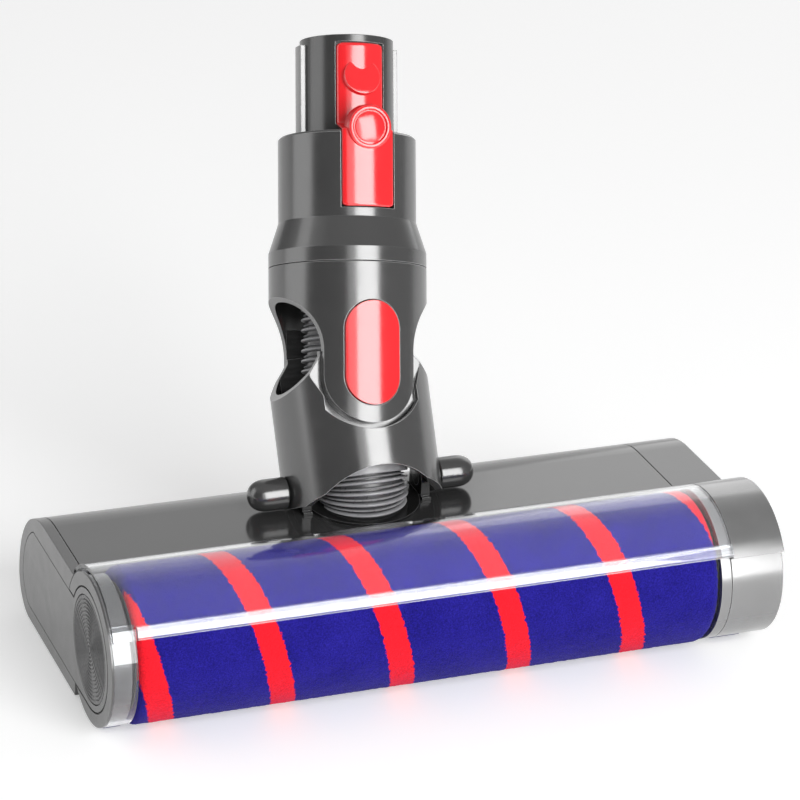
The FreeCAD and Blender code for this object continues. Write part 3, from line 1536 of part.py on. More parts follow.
def check_document():
    """Stop if any object failed, or a node's shape is empty or invalid."""
    failed = [item for item in doc.Objects if {"Invalid", "Error"} & set(item.State)]
    bad = [f"{item.Name}: {item.getStatusString()}" for item in failed]
    for label, item in NODES.items():
        shape = item.Shape
        if shape.isNull() or not shape.isValid() or not shape.Solids:
            bad.append(label)
    if bad:
        raise RuntimeError(f"failed pieces: {bad}")


build_all()
doc.recompute()
check_document()
os.makedirs("parts", exist_ok=True)
for label, item in NODES.items():
    item.Shape.exportStep(f"parts/{label}.step")
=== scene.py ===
"""Looks of a powered floor head: finishes for every piece, pile, hose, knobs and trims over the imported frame.

Local sizes are in millimetres and are brought to metres by each piece's seat.
"""
import logging
import math
from dataclasses import dataclass, field
from enum import Enum

import bmesh
import bpy
from mathutils import Matrix, Vector, noise


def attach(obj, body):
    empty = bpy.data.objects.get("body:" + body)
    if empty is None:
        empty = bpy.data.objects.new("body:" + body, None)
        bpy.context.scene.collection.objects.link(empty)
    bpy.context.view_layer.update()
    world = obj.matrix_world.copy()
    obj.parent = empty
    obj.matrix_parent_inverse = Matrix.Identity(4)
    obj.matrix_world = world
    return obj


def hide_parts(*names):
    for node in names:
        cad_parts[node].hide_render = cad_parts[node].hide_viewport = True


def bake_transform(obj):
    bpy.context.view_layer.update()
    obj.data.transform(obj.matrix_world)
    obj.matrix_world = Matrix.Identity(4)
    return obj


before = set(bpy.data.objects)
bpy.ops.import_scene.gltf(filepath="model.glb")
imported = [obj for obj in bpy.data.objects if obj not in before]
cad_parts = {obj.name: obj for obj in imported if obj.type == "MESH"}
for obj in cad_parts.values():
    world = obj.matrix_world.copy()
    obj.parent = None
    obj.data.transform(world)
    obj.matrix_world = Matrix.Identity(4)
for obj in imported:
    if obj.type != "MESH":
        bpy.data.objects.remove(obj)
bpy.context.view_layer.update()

log = logging.getLogger("floor_head")
MM = 0.001
Colour = tuple[float, float, float]
Profile = list[tuple[float, float]]


class Axis(Enum):
    """Axis that a turned piece is spun about."""

    ALONG_ROLLER = (1.0, 0.0, 0.0)
    FRONT_TO_BACK = (0.0, 1.0, 0.0)
    UPWARD = (0.0, 0.0, 1.0)


@dataclass(frozen=True)
class Seat:
    """A local frame: its origin in millimetres, its lean backwards and its swivel, in degrees."""

    origin: tuple[float, float, float]
    lean: float = 0.0
    swivel: float = 0.0

    def matrix(self) -> Matrix:
        """Matrix from local millimetres to the head's metres."""
        lean = Matrix.Rotation(math.radians(-self.lean), 4, "X")
        swivel = Matrix.Rotation(math.radians(self.swivel), 4, "Y")
        return Matrix.Scale(MM, 4) @ Matrix.Translation(self.origin) @ lean @ swivel


PILE_RADIUS = 27.7
LEAN = 28.0
SWIVEL = 7.5
TILT_AT = (-9.4, -7.082, 53.0)
SWIVEL_AT = (-9.4, 10.2885, 85.6691)
ROLLER = Seat((0.0, -55.082, PILE_RADIUS))
TILT = Seat(TILT_AT)
YOKE = Seat(TILT_AT, LEAN)
NECK = Seat(SWIVEL_AT, LEAN, SWIVEL)


def direction(azimuth: float, elevation: float) -> Vector:
    """Unit vector by degrees round from the head's front and degrees above its floor."""
    az, el = math.radians(azimuth), math.radians(elevation)
    return Vector((math.sin(az) * math.cos(el), -math.cos(az) * math.cos(el), math.sin(el)))


def held(value: float, low: float = 0.0, high: float = 1.0) -> float:
    """A value kept between two bounds."""
    return max(low, min(high, value))


def stand(name: str, data: bpy.types.ID) -> bpy.types.Object:
    """A new object of a mesh, lamp or camera, linked to the scene."""
    made = bpy.data.objects.new(name, data)
    bpy.context.scene.collection.objects.link(made)
    return made


def rim_of(shape: bmesh.types.BMesh) -> list[bmesh.types.BMEdge]:
    """The open edges of a shape."""
    return [edge for edge in shape.edges if edge.is_boundary]


def skirted(shape: bmesh.types.BMesh) -> list[bmesh.types.BMVert]:
    """Extrudes a shape's open edges and returns the new vertices, still in place."""
    skirt = bmesh.ops.extrude_edge_only(shape, edges=rim_of(shape))
    return [item for item in skirt["geom"] if isinstance(item, bmesh.types.BMVert)]


# Finishes
class Wiring:
    """The node tree of a material or a world, with short ways to add and join nodes."""

    def __init__(self, owner: bpy.types.Material | bpy.types.World) -> None:
        """Starts an empty tree.

        Args:
            owner: the material or world that holds the tree.
        """
        owner.use_nodes = True
        self.owner = owner
        self.tree = owner.node_tree
        self.tree.nodes.clear()

    def add(self, kind: str, inputs: dict | None = None, **settings: object) -> bpy.types.Node:
        """Adds a node.

        Args:
            kind: the node's type name, without its ShaderNode prefix.
            inputs: values or output sockets by input name or number.
            settings: properties of the node.

        Returns:
            The new node.
        """
        node = self.tree.nodes.new("ShaderNode" + kind)
        for key, value in settings.items():
            setattr(node, key, value)
        for key, value in (inputs or {}).items():
            if isinstance(value, bpy.types.NodeSocket):
                self.tree.links.new(value, node.inputs[key])
            else:
                node.inputs[key].default_value = value
        return node

    def place(self) -> bpy.types.NodeSocket:
        """Object coordinates, in metres."""
        return self.add("TexCoord").outputs["Object"]

    def speckle(self, size: float, detail: float = 2.0, rough: float = 0.5) -> bpy.types.NodeSocket:
        """Noise of one grain size.

        Args:
            size: grain size in millimetres.
            detail: octaves.
            rough: weight of the finer octaves.

        Returns:
            The noise value from 0 to 1.
        """
        inputs = {"Vector": self.place(), "Scale": 1.0 / (size * MM), "Detail": detail, "Roughness": rough}
        return self.add("TexNoise", inputs).outputs["Fac"]

    def spread(self, value: bpy.types.NodeSocket, low: object, high: object, start: float = 0.3,
               end: float = 0.7) -> bpy.types.NodeSocket:
        """Maps a value's middle range to another range.

        Args:
            value: the value to map.
            low: result at start.
            high: result at end.
            start: lower bound of the value.
            end: upper bound of the value.

        Returns:
            The mapped value.
        """
        inputs = {"Value": value, "From Min": start, "From Max": end, "To Min": low, "To Max": high}
        return self.add("MapRange", inputs).outputs["Result"]

    def blend(self, factor: object, first: object, second: object) -> bpy.types.NodeSocket:
        """Mixes two colours.

        Args:
            factor: share of the second, a number or socket.
            first: colour or socket at 0.
            second: colour or socket at 1.

        Returns:
            The mixed colour.
        """
        node = self.add("Mix", data_type="RGBA", clamp_factor=True)
        for number, value in ((0, factor), (6, first), (7, second)):
            if isinstance(value, bpy.types.NodeSocket):
                self.tree.links.new(value, node.inputs[number])
            elif number:
                node.inputs[number].default_value = (*value, 1.0)
            else:
                node.inputs[number].default_value = value
        return node.outputs[2]

    def maths(self, operation: str, first: object, second: object = 0.0) -> bpy.types.NodeSocket:
        """Result of a sum on numbers or sockets."""
        return self.add("Math", {0: first, 1: second}, operation=operation).outputs["Value"]

    def finish(self, surface: bpy.types.NodeSocket, output: str = "OutputMaterial") -> bpy.types.ID:
        """Joins a surface to the output and returns the tree's owner."""
        self.add(output, {"Surface": surface})
        return self.owner


def new_material(name: str) -> Wiring:
    """An empty material's wiring."""
    return Wiring(bpy.data.materials.new(name))


def grey(level: float) -> Colour:
    """A neutral colour of one level."""
    return (level, level, level)


def shade(colour: Colour, gain: float) -> Colour:
    """A colour made lighter or darker by a gain."""
    return tuple(min(1.0, part * gain) for part in colour)


@dataclass(frozen=True)
class Moulding:
    """Moulded plastic: slow colour drift, a fine tool grain, eased edges painted lighter as a highlight."""

    name: str
    colour: Colour
    roughness: float = 0.25
    metallic: float = 0.0
    drift: float = 0.08
    grain: float = 0.02
    grain_size: float = 0.5
    edge: float = 0.35
    # Colour of the painted highlight along eased edges.
    edge_highlight_colour: Colour = grey(0.4)
    coat: float = 0.0
    coat_roughness: float = 0.08
    ior: float = 1.5

    def build(self) -> bpy.types.Material:
        """Builds the material."""
        w = new_material(self.name)
        drifting = w.spread(w.speckle(22.0, 3.0), 0.0, 1.0)
        body = w.blend(drifting, shade(self.colour, 1.0 - self.drift), shade(self.colour, 1.0 + self.drift))
        eased = w.add("Bevel", {"Radius": self.edge * MM}, samples=6)
        true_normal = w.add("NewGeometry").outputs["Normal"]
        facing = w.add("VectorMath", {0: eased.outputs["Normal"], 1: true_normal}, operation="DOT_PRODUCT")
        # Painted highlight: near edges, where the eased normal turns away from the true normal, the colour is
        # painted lighter.
        edge_highlight_mask = w.spread(facing.outputs["Value"], 1.0, 0.0, 0.86, 0.995)
        colour = w.blend(edge_highlight_mask, body, self.edge_highlight_colour)
        rough = w.spread(w.speckle(6.0, 4.0), self.roughness * 0.88, self.roughness * 1.15)
        bump = w.add("Bump", {"Height": w.speckle(self.grain_size, 2.0), "Strength": self.grain,
                              "Distance": 0.1 * MM, "Normal": eased.outputs["Normal"]})
        shader = w.add("BsdfPrincipled", {"Base Color": colour, "Roughness": rough, "Metallic": self.metallic,
                                          "IOR": self.ior, "Coat Weight": self.coat,
                                          "Coat Roughness": self.coat_roughness,
                                          "Normal": bump.outputs["Normal"]})
        return w.finish(shader.outputs["BSDF"])


@dataclass(frozen=True)
class ClearPlastic:
    """Clear moulded plastic with a slight haze that lets lamps through."""

    name: str
    tint: Colour = (0.96, 0.97, 0.98)
    haze: float = 0.008
    roughness: float = 0.02
    ior: float = 1.49

    def build(self) -> bpy.types.Material:
        """Builds the material."""
        w = new_material(self.name)
        rough = w.spread(w.speckle(9.0, 3.0), self.roughness * 0.5, self.roughness * 2.0)
        clear = w.add("BsdfPrincipled", {"Base Color": (*self.tint, 1.0), "Roughness": rough, "IOR": self.ior,
                                         "Transmission Weight": 1.0})
        dust = w.spread(w.speckle(0.6, 3.0), self.haze * 0.7, self.haze * 1.3)
        pale = w.add("BsdfDiffuse", {"Color": (0.9, 0.9, 0.93, 1.0)})
        hazed = w.add("MixShader", {0: dust, 1: clear.outputs["BSDF"], 2: pale.outputs["BSDF"]})
        through = w.add("BsdfTransparent", {"Color": (0.9, 0.9, 0.92, 1.0)})
        lamp_ray = w.add("LightPath").outputs["Is Shadow Ray"]
        joined = w.add("MixShader", {0: lamp_ray, 1: hazed.outputs["Shader"], 2: through.outputs["BSDF"]})
        return w.finish(joined.outputs["Shader"])


@dataclass(frozen=True)
class PlushPile:
    """Dense short pile with a ragged border between two dyed yarns."""

    name: str
    ground: Colour = (0.011, 0.0075, 0.2)
    ground_bright: Colour = (0.022, 0.016, 0.32)
    stripe: Colour = (0.9, 0.012, 0.024)

    def build(self) -> bpy.types.Material:
        """Builds the material."""
        w = new_material(self.name)
        border = w.add("Attribute", attribute_name="border").outputs["Fac"]
        ragged = w.spread(w.speckle(1.3, 4.0, 0.65), -0.75, 0.75, 0.25, 0.75)
        moved = w.maths("ADD", border, ragged)
        is_red = w.spread(moved, 1.0, 0.0, -0.12, 0.12)
        fibre = w.spread(w.speckle(0.55, 4.0, 0.7), 0.0, 1.0, 0.32, 0.68)
        patch = w.spread(w.speckle(14.0, 3.0), 0.0, 1.0, 0.35, 0.65)
        blue = w.blend(fibre, shade(self.ground, 0.4), shade(self.ground, 1.5))
        lit = w.blend(fibre, shade(self.ground, 0.7), self.ground_bright)
        blue = w.blend(patch, blue, lit)
        red = w.blend(fibre, shade(self.stripe, 0.72), shade(self.stripe, 1.12))
        colour = w.blend(is_red, blue, red)
        bump = w.add("Bump", {"Height": w.speckle(0.7, 5.0, 0.7), "Strength": 0.8, "Distance": 0.5 * MM})
        shader = w.add("BsdfPrincipled", {"Base Color": colour, "Roughness": 0.95, "Specular IOR Level": 0.15,
                                          "Sheen Weight": 0.12, "Sheen Roughness": 0.45,
                                          "Sheen Tint": (0.5, 0.45, 1.0, 1.0),
                                          "Normal": bump.outputs["Normal"]})
        return w.finish(shader.outputs["BSDF"])


@dataclass(frozen=True)
class HoseWall:
    """Flexible hose wall: pale rib crests over grooves darkened as painted shade."""

    name: str
    crest: Colour = (0.34, 0.34, 0.35)
    # Colour of the painted shade down in the grooves between ribs.
    groove: Colour = (0.05, 0.05, 0.052)
    roughness: float = 0.3

    def build(self) -> bpy.types.Material:
        """Builds the material."""
        w = new_material(self.name)
        height = w.add("Attribute", attribute_name="crest").outputs["Fac"]
        drifting = w.spread(w.speckle(7.0, 3.0), 0.0, 1.0)
        pale = w.blend(drifting, shade(self.crest, 0.85), shade(self.crest, 1.1))
        # Painted shade: the colour darkens from the crests down into the grooves, by how far each place stands
        # out.
        colour = w.blend(w.spread(height, 0.0, 1.0, 0.1, 0.9), self.groove, pale)
        rough = w.spread(w.speckle(1.2, 3.0), self.roughness * 0.85, self.roughness * 1.2)
        bump = w.add("Bump", {"Height": w.speckle(0.4), "Strength": 0.05, "Distance": 0.1 * MM})
        shader = w.add("BsdfPrincipled", {"Base Color": colour, "Roughness": rough, "IOR": 1.6,
                                          "Normal": bump.outputs["Normal"]})
        return w.finish(shader.outputs["BSDF"])


@dataclass(frozen=True)
class Metal:
    """Turned or rolled metal with fine marks."""

    name: str
    colour: Colour
    roughness: float = 0.3
    mark_size: float = 0.25

    def build(self) -> bpy.types.Material:
        """Builds the material."""
        w = new_material(self.name)
        marks = w.speckle(self.mark_size, 4.0, 0.7)
        drifting = w.spread(w.speckle(5.0), 0.0, 1.0)
        colour = w.blend(drifting, shade(self.colour, 0.85), shade(self.colour, 1.1))
        rough = w.spread(marks, self.roughness * 0.7, self.roughness * 1.3)
        bump = w.add("Bump", {"Height": marks, "Strength": 0.08, "Distance": 0.05 * MM})
        shader = w.add("BsdfPrincipled", {"Base Color": colour, "Metallic": 1.0, "Roughness": rough,
                                          "Normal": bump.outputs["Normal"]})
        return w.finish(shader.outputs["BSDF"])


@dataclass(frozen=True)
class SoftFibre:
    """Felt, bristle or rubber: matt with coarse or fine fibres."""

    name: str
    colour: Colour
    fibre_size: float = 0.35
    roughness: float = 0.9
    sheen: float = 0.2

    def build(self) -> bpy.types.Material:
        """Builds the material."""
        w = new_material(self.name)
        fibre = w.speckle(self.fibre_size, 4.0, 0.7)
        colour = w.blend(w.spread(fibre, 0.0, 1.0), shade(self.colour, 0.6), shade(self.colour, 1.4))
        bump = w.add("Bump", {"Height": fibre, "Strength": 0.5, "Distance": 0.3 * MM})
        shader = w.add("BsdfPrincipled", {"Base Color": colour, "Roughness": self.roughness,
                                          "Sheen Weight": self.sheen, "Normal": bump.outputs["Normal"]})
        return w.finish(shader.outputs["BSDF"])


Finish = Moulding | ClearPlastic | PlushPile | HoseWall | Metal | SoftFibre
FINISHES: tuple[Finish, ...] = (
    Moulding("cover_grey", grey(0.04), 0.13, edge_highlight_colour=grey(0.2), ior=1.9),
    Moulding("cap_smoke", grey(0.3), 0.17, metallic=0.7, edge_highlight_colour=grey(0.55)),
    Moulding("panel_grey", grey(0.05), 0.22, edge_highlight_colour=grey(0.2), ior=1.85),
    Moulding("neck_grey", grey(0.04), 0.19, edge_highlight_colour=grey(0.5), ior=2.05),
    Moulding("spigot_grey", grey(0.036), 0.19, edge_highlight_colour=grey(0.45), ior=1.8),
    ClearPlastic("clear_plastic"),
    ClearPlastic("clear_lip", haze=0.03, ior=1.62),
    Moulding("rail_light", grey(0.22), 0.16, edge_highlight_colour=grey(0.7), ior=1.9),
    Moulding("knob_grey", grey(0.034), 0.2, edge_highlight_colour=grey(0.2), ior=2.0),
    Moulding("black_plastic", grey(0.014), 0.15, edge_highlight_colour=grey(0.12)),
    Moulding("chassis_plastic", (0.06, 0.06, 0.065), 0.45, edge_highlight_colour=grey(0.1)),
    Moulding("trim_red", (0.8, 0.012, 0.018), 0.14, edge_highlight_colour=(0.95, 0.22, 0.22), drift=0.03, ior=1.85),
    PlushPile("pile"),
    SoftFibre("felt_navy", (0.02, 0.022, 0.12)),
    SoftFibre("bristle_black", (0.02, 0.02, 0.022), 0.25, 0.7),
    HoseWall("hose_grey"),
    Moulding("duct_white", (0.72, 0.73, 0.74), 0.35, edge_highlight_colour=grey(0.8)),
    Metal("motor_can", (0.5, 0.5, 0.52), 0.32),
    Metal("steel", (0.62, 0.62, 0.63), 0.22),
    Metal("brass", (0.78, 0.56, 0.22), 0.25),
    SoftFibre("belt_rubber", grey(0.018), 0.4, 0.6, 0.05),
    Moulding("core_plastic", (0.12, 0.12, 0.13), 0.4, edge_highlight_colour=grey(0.2)),
    Moulding("disc_grey", (0.07, 0.07, 0.072), 0.26, edge_highlight_colour=grey(0.13), edge=0.12),
)


# Shared ways of making a piece
class Workshop:
    """Builds the finishes once and turns bmesh shapes into finished pieces."""

    def __init__(self) -> None:
        """Builds every finish."""
        self.finishes = {finish.name: finish.build() for finish in FINISHES}

    def piece(self, name: str, shape: bmesh.types.BMesh, seat: Seat, finish: str,
              sharp: float = 35.0) -> bpy.types.Object:
        """Makes an object of a local shape.

        Args:
            name: the piece's name.
            shape: bmesh in local millimetres; it is freed.
            seat: where the piece stands.
            finish: key of its finish.
            sharp: angle in degrees past which an edge stays sharp.

        Returns:
            The object, at the origin, with its place in its mesh.
        """
        shape.transform(seat.matrix())
        bmesh.ops.remove_doubles(shape, verts=shape.verts, dist=0.002 * MM)
        bmesh.ops.recalc_face_normals(shape, faces=shape.faces)
        mesh = bpy.data.meshes.new(name)
        shape.to_mesh(mesh)
        shape.free()
        mesh.shade_smooth()
        mesh.set_sharp_from_angle(angle=math.radians(sharp))
        made = stand(name, mesh)
        mesh.materials.append(self.finishes[finish])
        return made

    def dress(self, node: str, finish: str) -> None:
        """Gives a CAD node a finish."""
        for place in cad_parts[node].material_slots:
            place.material = self.finishes[finish]


def eased(corners: list[tuple[float, float, float]], steps: int = 5) -> Profile:
    """Rounds the corners of a closed profile.

    Args:
        corners: (along, radius, fillet) of each corner in turn.
        steps: segments of each fillet.

    Returns:
        The profile's points.
    """
    points: Profile = []
    count = len(corners)
    for index, (along, radius, fillet) in enumerate(corners):
        here = Vector((along, radius))
        if fillet <= 0:
            points.append((along, radius))
            continue
        before = (Vector(corners[index - 1][:2]) - here).normalized()
        after = (Vector(corners[(index + 1) % count][:2]) - here).normalized()
        half = before.angle(after) / 2
        middle = (before + after).normalized()
        centre = here + middle * (fillet / math.sin(half))
        first = here + before * (fillet / math.tan(half)) - centre
        last = here + after * (fillet / math.tan(half)) - centre
        for step in range(steps + 1):
            ray = first.lerp(last, step / steps).normalized() * fillet
            points.append(tuple(centre + ray))
    return points


def turned(profile: Profile, axis: Axis, steps: int = 96, closed: bool = True) -> bmesh.types.BMesh:
    """Spins a profile a full turn about an axis.

    Args:
        profile: (along, radius) points.
        axis: the axis, through the local origin.
        steps: facets round the turn.
        closed: whether the last point joins the first.

    Returns:
        The shape.
    """
    shape = bmesh.new()
    forward = Vector(axis.value)
    outward = Vector((1, 0, 0) if axis is Axis.UPWARD else (0, 0, 1))
    verts = [shape.verts.new(forward * along + outward * radius) for along, radius in profile]
    pairs = list(zip(verts, verts[1:])) + ([(verts[-1], verts[0])] if closed else [])
    edges = [shape.edges.new(pair) for pair in pairs if (pair[0].co - pair[1].co).length > 1e-6]
    bmesh.ops.spin(shape, geom=verts + edges, cent=(0, 0, 0), axis=forward, dvec=(0, 0, 0),
                   angle=math.tau, steps=steps, use_merge=True)
    bmesh.ops.remove_doubles(shape, verts=shape.verts, dist=1e-4)
    return shape


# Roller
@dataclass
class PileRoller:
    """Plush pile of the roller: a blue ground wound with a red strip."""

    start: float = -115.2
    end: float = 100.0
    radius: float = PILE_RADIUS
    core: float = 22.6
    rounding: float = 3.0
    pitch: float = 43.9
    stripe_width: float = 9.0
    front_centre: float = -22.9
    cell: float = 0.85
    tuft: float = 0.28
    overlap: float = 0.45

    def band(self, low: float, high: float) -> bmesh.types.BMesh:
        """One wound band of pile.

        Args:
            low: its lower side, measured along the roller from the stripe's centre line.
            high: its upper side.

        Returns:
            The band, cut flush at both ends of the roller and closed down to the core.
        """
        wide = high - low
        turns = (self.end - self.start) / self.pitch + 2.0
        around = int(math.tau * self.radius / self.cell)
        rows = int(round(turns * around))
        across = max(4, int(round(wide / self.cell)))
        shape = bmesh.new()
        bmesh.ops.create_grid(shape, x_segments=across, y_segments=rows, size=0.5)
        layer = shape.verts.layers.float.new("border")
        first_turn = math.floor((self.start - self.front_centre - high) / self.pitch) - 1.0
        for vert in shape.verts:
            side = low + (vert.co.x + 0.5) * wide
            turn = first_turn + (vert.co.y + 0.5) * rows / around
            x = self.front_centre + side + self.pitch * turn
            vert[layer] = min(abs(side), abs(self.pitch - side)) - self.stripe_width / 2
            vert.co = self.on_roller(x, math.pi + math.tau * turn)
        for place, normal in ((self.start, (-1, 0, 0)), (self.end, (1, 0, 0))):
            geometry = shape.verts[:] + shape.edges[:] + shape.faces[:]
            bmesh.ops.bisect_plane(shape, geom=geometry, dist=1e-5, plane_co=(place, 0, 0), plane_no=normal,
                                   clear_outer=True)
        for vert in skirted(shape):
            distance = math.hypot(vert.co.y, vert.co.z)
            vert.co.y *= self.core / distance
            vert.co.z *= self.core / distance
        return shape

    def on_roller(self, x: float, angle: float) -> Vector:
        """A point of the pile's tufted surface.

        Args:
            x: place along the roller.
            angle: angle from the rear towards the top, in radians.

        Returns:
            The point in the roller's frame.
        """
        radius = self.radius - self.tuft
        near = min(x - self.start, self.end - x)
        if near < self.rounding:
            inset = self.rounding - max(near, 0.0)
            radius -= self.rounding - math.sqrt(max(0.0, self.rounding ** 2 - inset ** 2))
        flat = Vector((x, radius * math.cos(angle), radius * math.sin(angle)))
        lift = noise.noise(flat * 1.1) * 0.6 + noise.noise(flat * 0.35) * 0.5
        radius += self.tuft * held(lift, -1.0, 1.0)
        return Vector((x, radius * math.cos(angle), radius * math.sin(angle)))

    def build(self, shop: Workshop) -> list[bpy.types.Object]:
        """Builds and dresses the blue and red pile."""
        half = self.stripe_width / 2 + self.overlap
        strip, ground = self.band(-half, half), self.band(half, self.pitch - half)
        red = shop.piece("pile_nap_red", strip, ROLLER, "pile", 80)
        blue = shop.piece("pile_nap_blue", ground, ROLLER, "pile", 80)
        for made, node in ((red, "red_strip"), (blue, "pile_sleeve")):
            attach(made, "roller")
            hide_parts(node)
        return [red, blue]


# Visor
@dataclass
class ClearVisor:
    """Clear shell over the roller with a thick rounded front lip and a full band at its left end."""

    start: float = -124.05
    end: float = 104.6
    lip_start: float = -115.7
    band_end: float = -115.7
    inner: float = 28.05
    outer: float = 29.35
    lip_radius: float = 31.05
    rear: float = 30.0
    front: float = 149.0
    lip_from: float = 139.5
    band_inner: float = 25.7
    band_outer: float = 26.9
    band_front: float = 137.0
    band_rear: float = 288.0

    def arc(self, radius: float, first: float, last: float, steps: int) -> Profile:
        """Points (across, up) of an arc about the roller's axis, counted from the rear over the top."""
        turns = [math.radians(first + (last - first) * step / steps) for step in range(steps + 1)]
        return [(radius * math.cos(turn), radius * math.sin(turn)) for turn in turns]

    def spot(self, radius: float, turn: float) -> Profile:
        """The one point (across, up) at a radius and angle about the roller's axis."""
        return self.arc(radius, turn, turn, 1)[:1]

    def pulled(self, outline: Profile, start: float, end: float) -> bmesh.types.BMesh:
        """Pulls an outline along the roller.

        Args:
            outline: closed outline of (across, up) points.
            start: where it begins.
            end: where it stops.

        Returns:
            The solid.
        """
        shape = bmesh.new()
        face = shape.faces.new([shape.verts.new((start, across, up)) for across, up in outline])
        pulled = bmesh.ops.extrude_face_region(shape, geom=[face])
        moved = [item for item in pulled["geom"] if isinstance(item, bmesh.types.BMVert)]
        bmesh.ops.translate(shape, verts=moved, vec=(end - start, 0, 0))
        return shape

    def shell(self) -> bmesh.types.BMesh:
        """The shell, with an eased rear edge."""
        outline = self.arc(self.outer, self.rear + 0.8, self.front, 110)
        outline += self.arc(self.inner, self.front, self.rear + 0.8, 110)
        outline += self.spot((self.outer + self.inner) / 2, self.rear)
        return self.pulled(outline, self.start, self.end)

    def lip(self) -> bmesh.types.BMesh:
        """The lip, rounded where it stands out of the shell and at its front edge."""
        base = self.outer + 0.01
        high = self.lip_radius
        outline = self.spot(base, self.lip_from - 0.3)
        for turn, radius in ((0.0, base + 0.12), (0.35, base + 0.55), (0.9, base + 1.05), (1.7, base + 1.4),
                             (2.7, base + 1.6), (3.7, high)):
            outline += self.spot(radius, self.lip_from + turn)
        outline += self.arc(high, self.lip_from + 4.5, self.front - 1.6, 6)
        for turn, radius in ((1.0, high - 0.12), (0.45, high - 0.4), (0.12, high - 0.8), (0.0, high - 1.2)):
            outline += self.spot(radius, self.front - turn)
        outline += self.arc(base, self.front, self.lip_from, 8)
        return self.pulled(outline, self.lip_start, self.end)

    def band(self) -> bmesh.types.BMesh:
        """The band at the left end, closed under the roller."""
        outline = self.arc(self.band_outer, self.band_front, self.band_rear, 90)
        outline += self.arc(self.band_inner, self.band_rear, self.band_front, 90)
        return self.pulled(outline, self.start, self.band_end)

    def build(self, shop: Workshop) -> list[bpy.types.Object]:
        """Builds and dresses the visor's three forms."""
        made = [
            shop.piece("visor_shell", self.shell(), ROLLER, "clear_plastic", 40),
            shop.piece("visor_lip", self.lip(), ROLLER, "clear_lip", 50),
            shop.piece("visor_band", self.band(), ROLLER, "clear_plastic", 40),
        ]
        for form in made:
            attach(form, "head")
        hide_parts("visor")
        return made


# Left end
@dataclass
class LeftDisc:
    """Finely ringed disc in the left side plate."""

    face: float = -125.0
    back: float = -123.0
    radius: float = 19.0
    rings: int = 13
    groove: float = 0.45

    def build(self, shop: Workshop) -> list[bpy.types.Object]:
        """Builds and dresses the disc."""
        pitch = (self.radius - 1.6) / self.rings
        profile: Profile = [(self.face + 0.15, 0.0), (self.face, 0.9)]
        for ring in range(self.rings):
            start = 1.2 + pitch * ring
            profile.append((self.face + self.groove, start + pitch * 0.12))
            profile.append((self.face, start + pitch * 0.55))
            profile.append((self.face, start + pitch * 0.85))
        profile += [(self.face, self.radius - 0.25), (self.face + 0.25, self.radius)]
        profile += [(self.back, self.radius), (self.back, 0.0)]
        disc = turned(profile, Axis.ALONG_ROLLER, 128, closed=False)
        made = shop.piece("ringed_disc", disc, ROLLER, "disc_grey", 20)
        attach(made, "head")
        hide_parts("left_disc")
        return [made]


# Neck
@dataclass
class PivotKnobs:
    """Bullet-nosed knobs with the pins that run through the yoke."""

    inside: float = 21.0
    face: float = 29.05
    shoulder: float = 36.0
    tip: float = 43.05
    radius: float = 5.8
    pin: float = 3.2
    nose_steps: int = 12
    nose_power: float = 2.4

    def build(self, shop: Workshop) -> list[bpy.types.Object]:
        """Builds and dresses both knobs."""
        made = []
        nose = []
        for step in range(1, self.nose_steps + 1):
            share = math.sin(step / self.nose_steps * math.pi / 2)
            bulge = (1 - share ** self.nose_power) ** (1 / self.nose_power) if step < self.nose_steps else 0.0
            radius = self.radius * bulge
            nose.append((self.shoulder + (self.tip - self.shoulder) * share, radius))
        base = eased([(self.face, self.pin, 0.0), (self.face, self.radius, 0.5),
                      (self.shoulder, self.radius, 0.0)])
        profile = [(self.inside, 0.0), (self.inside, self.pin), *base, *nose]
        for side, word in ((-1, "left"), (1, "right")):
            mirrored = [(side * along, radius) for along, radius in profile]
            body = turned(mirrored, Axis.ALONG_ROLLER, 72, False)
            knob = shop.piece(f"knob_{word}", body, TILT, "knob_grey")
            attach(knob, "head")
            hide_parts(f"pivot_knob_{word}")
            made.append(knob)
        return made


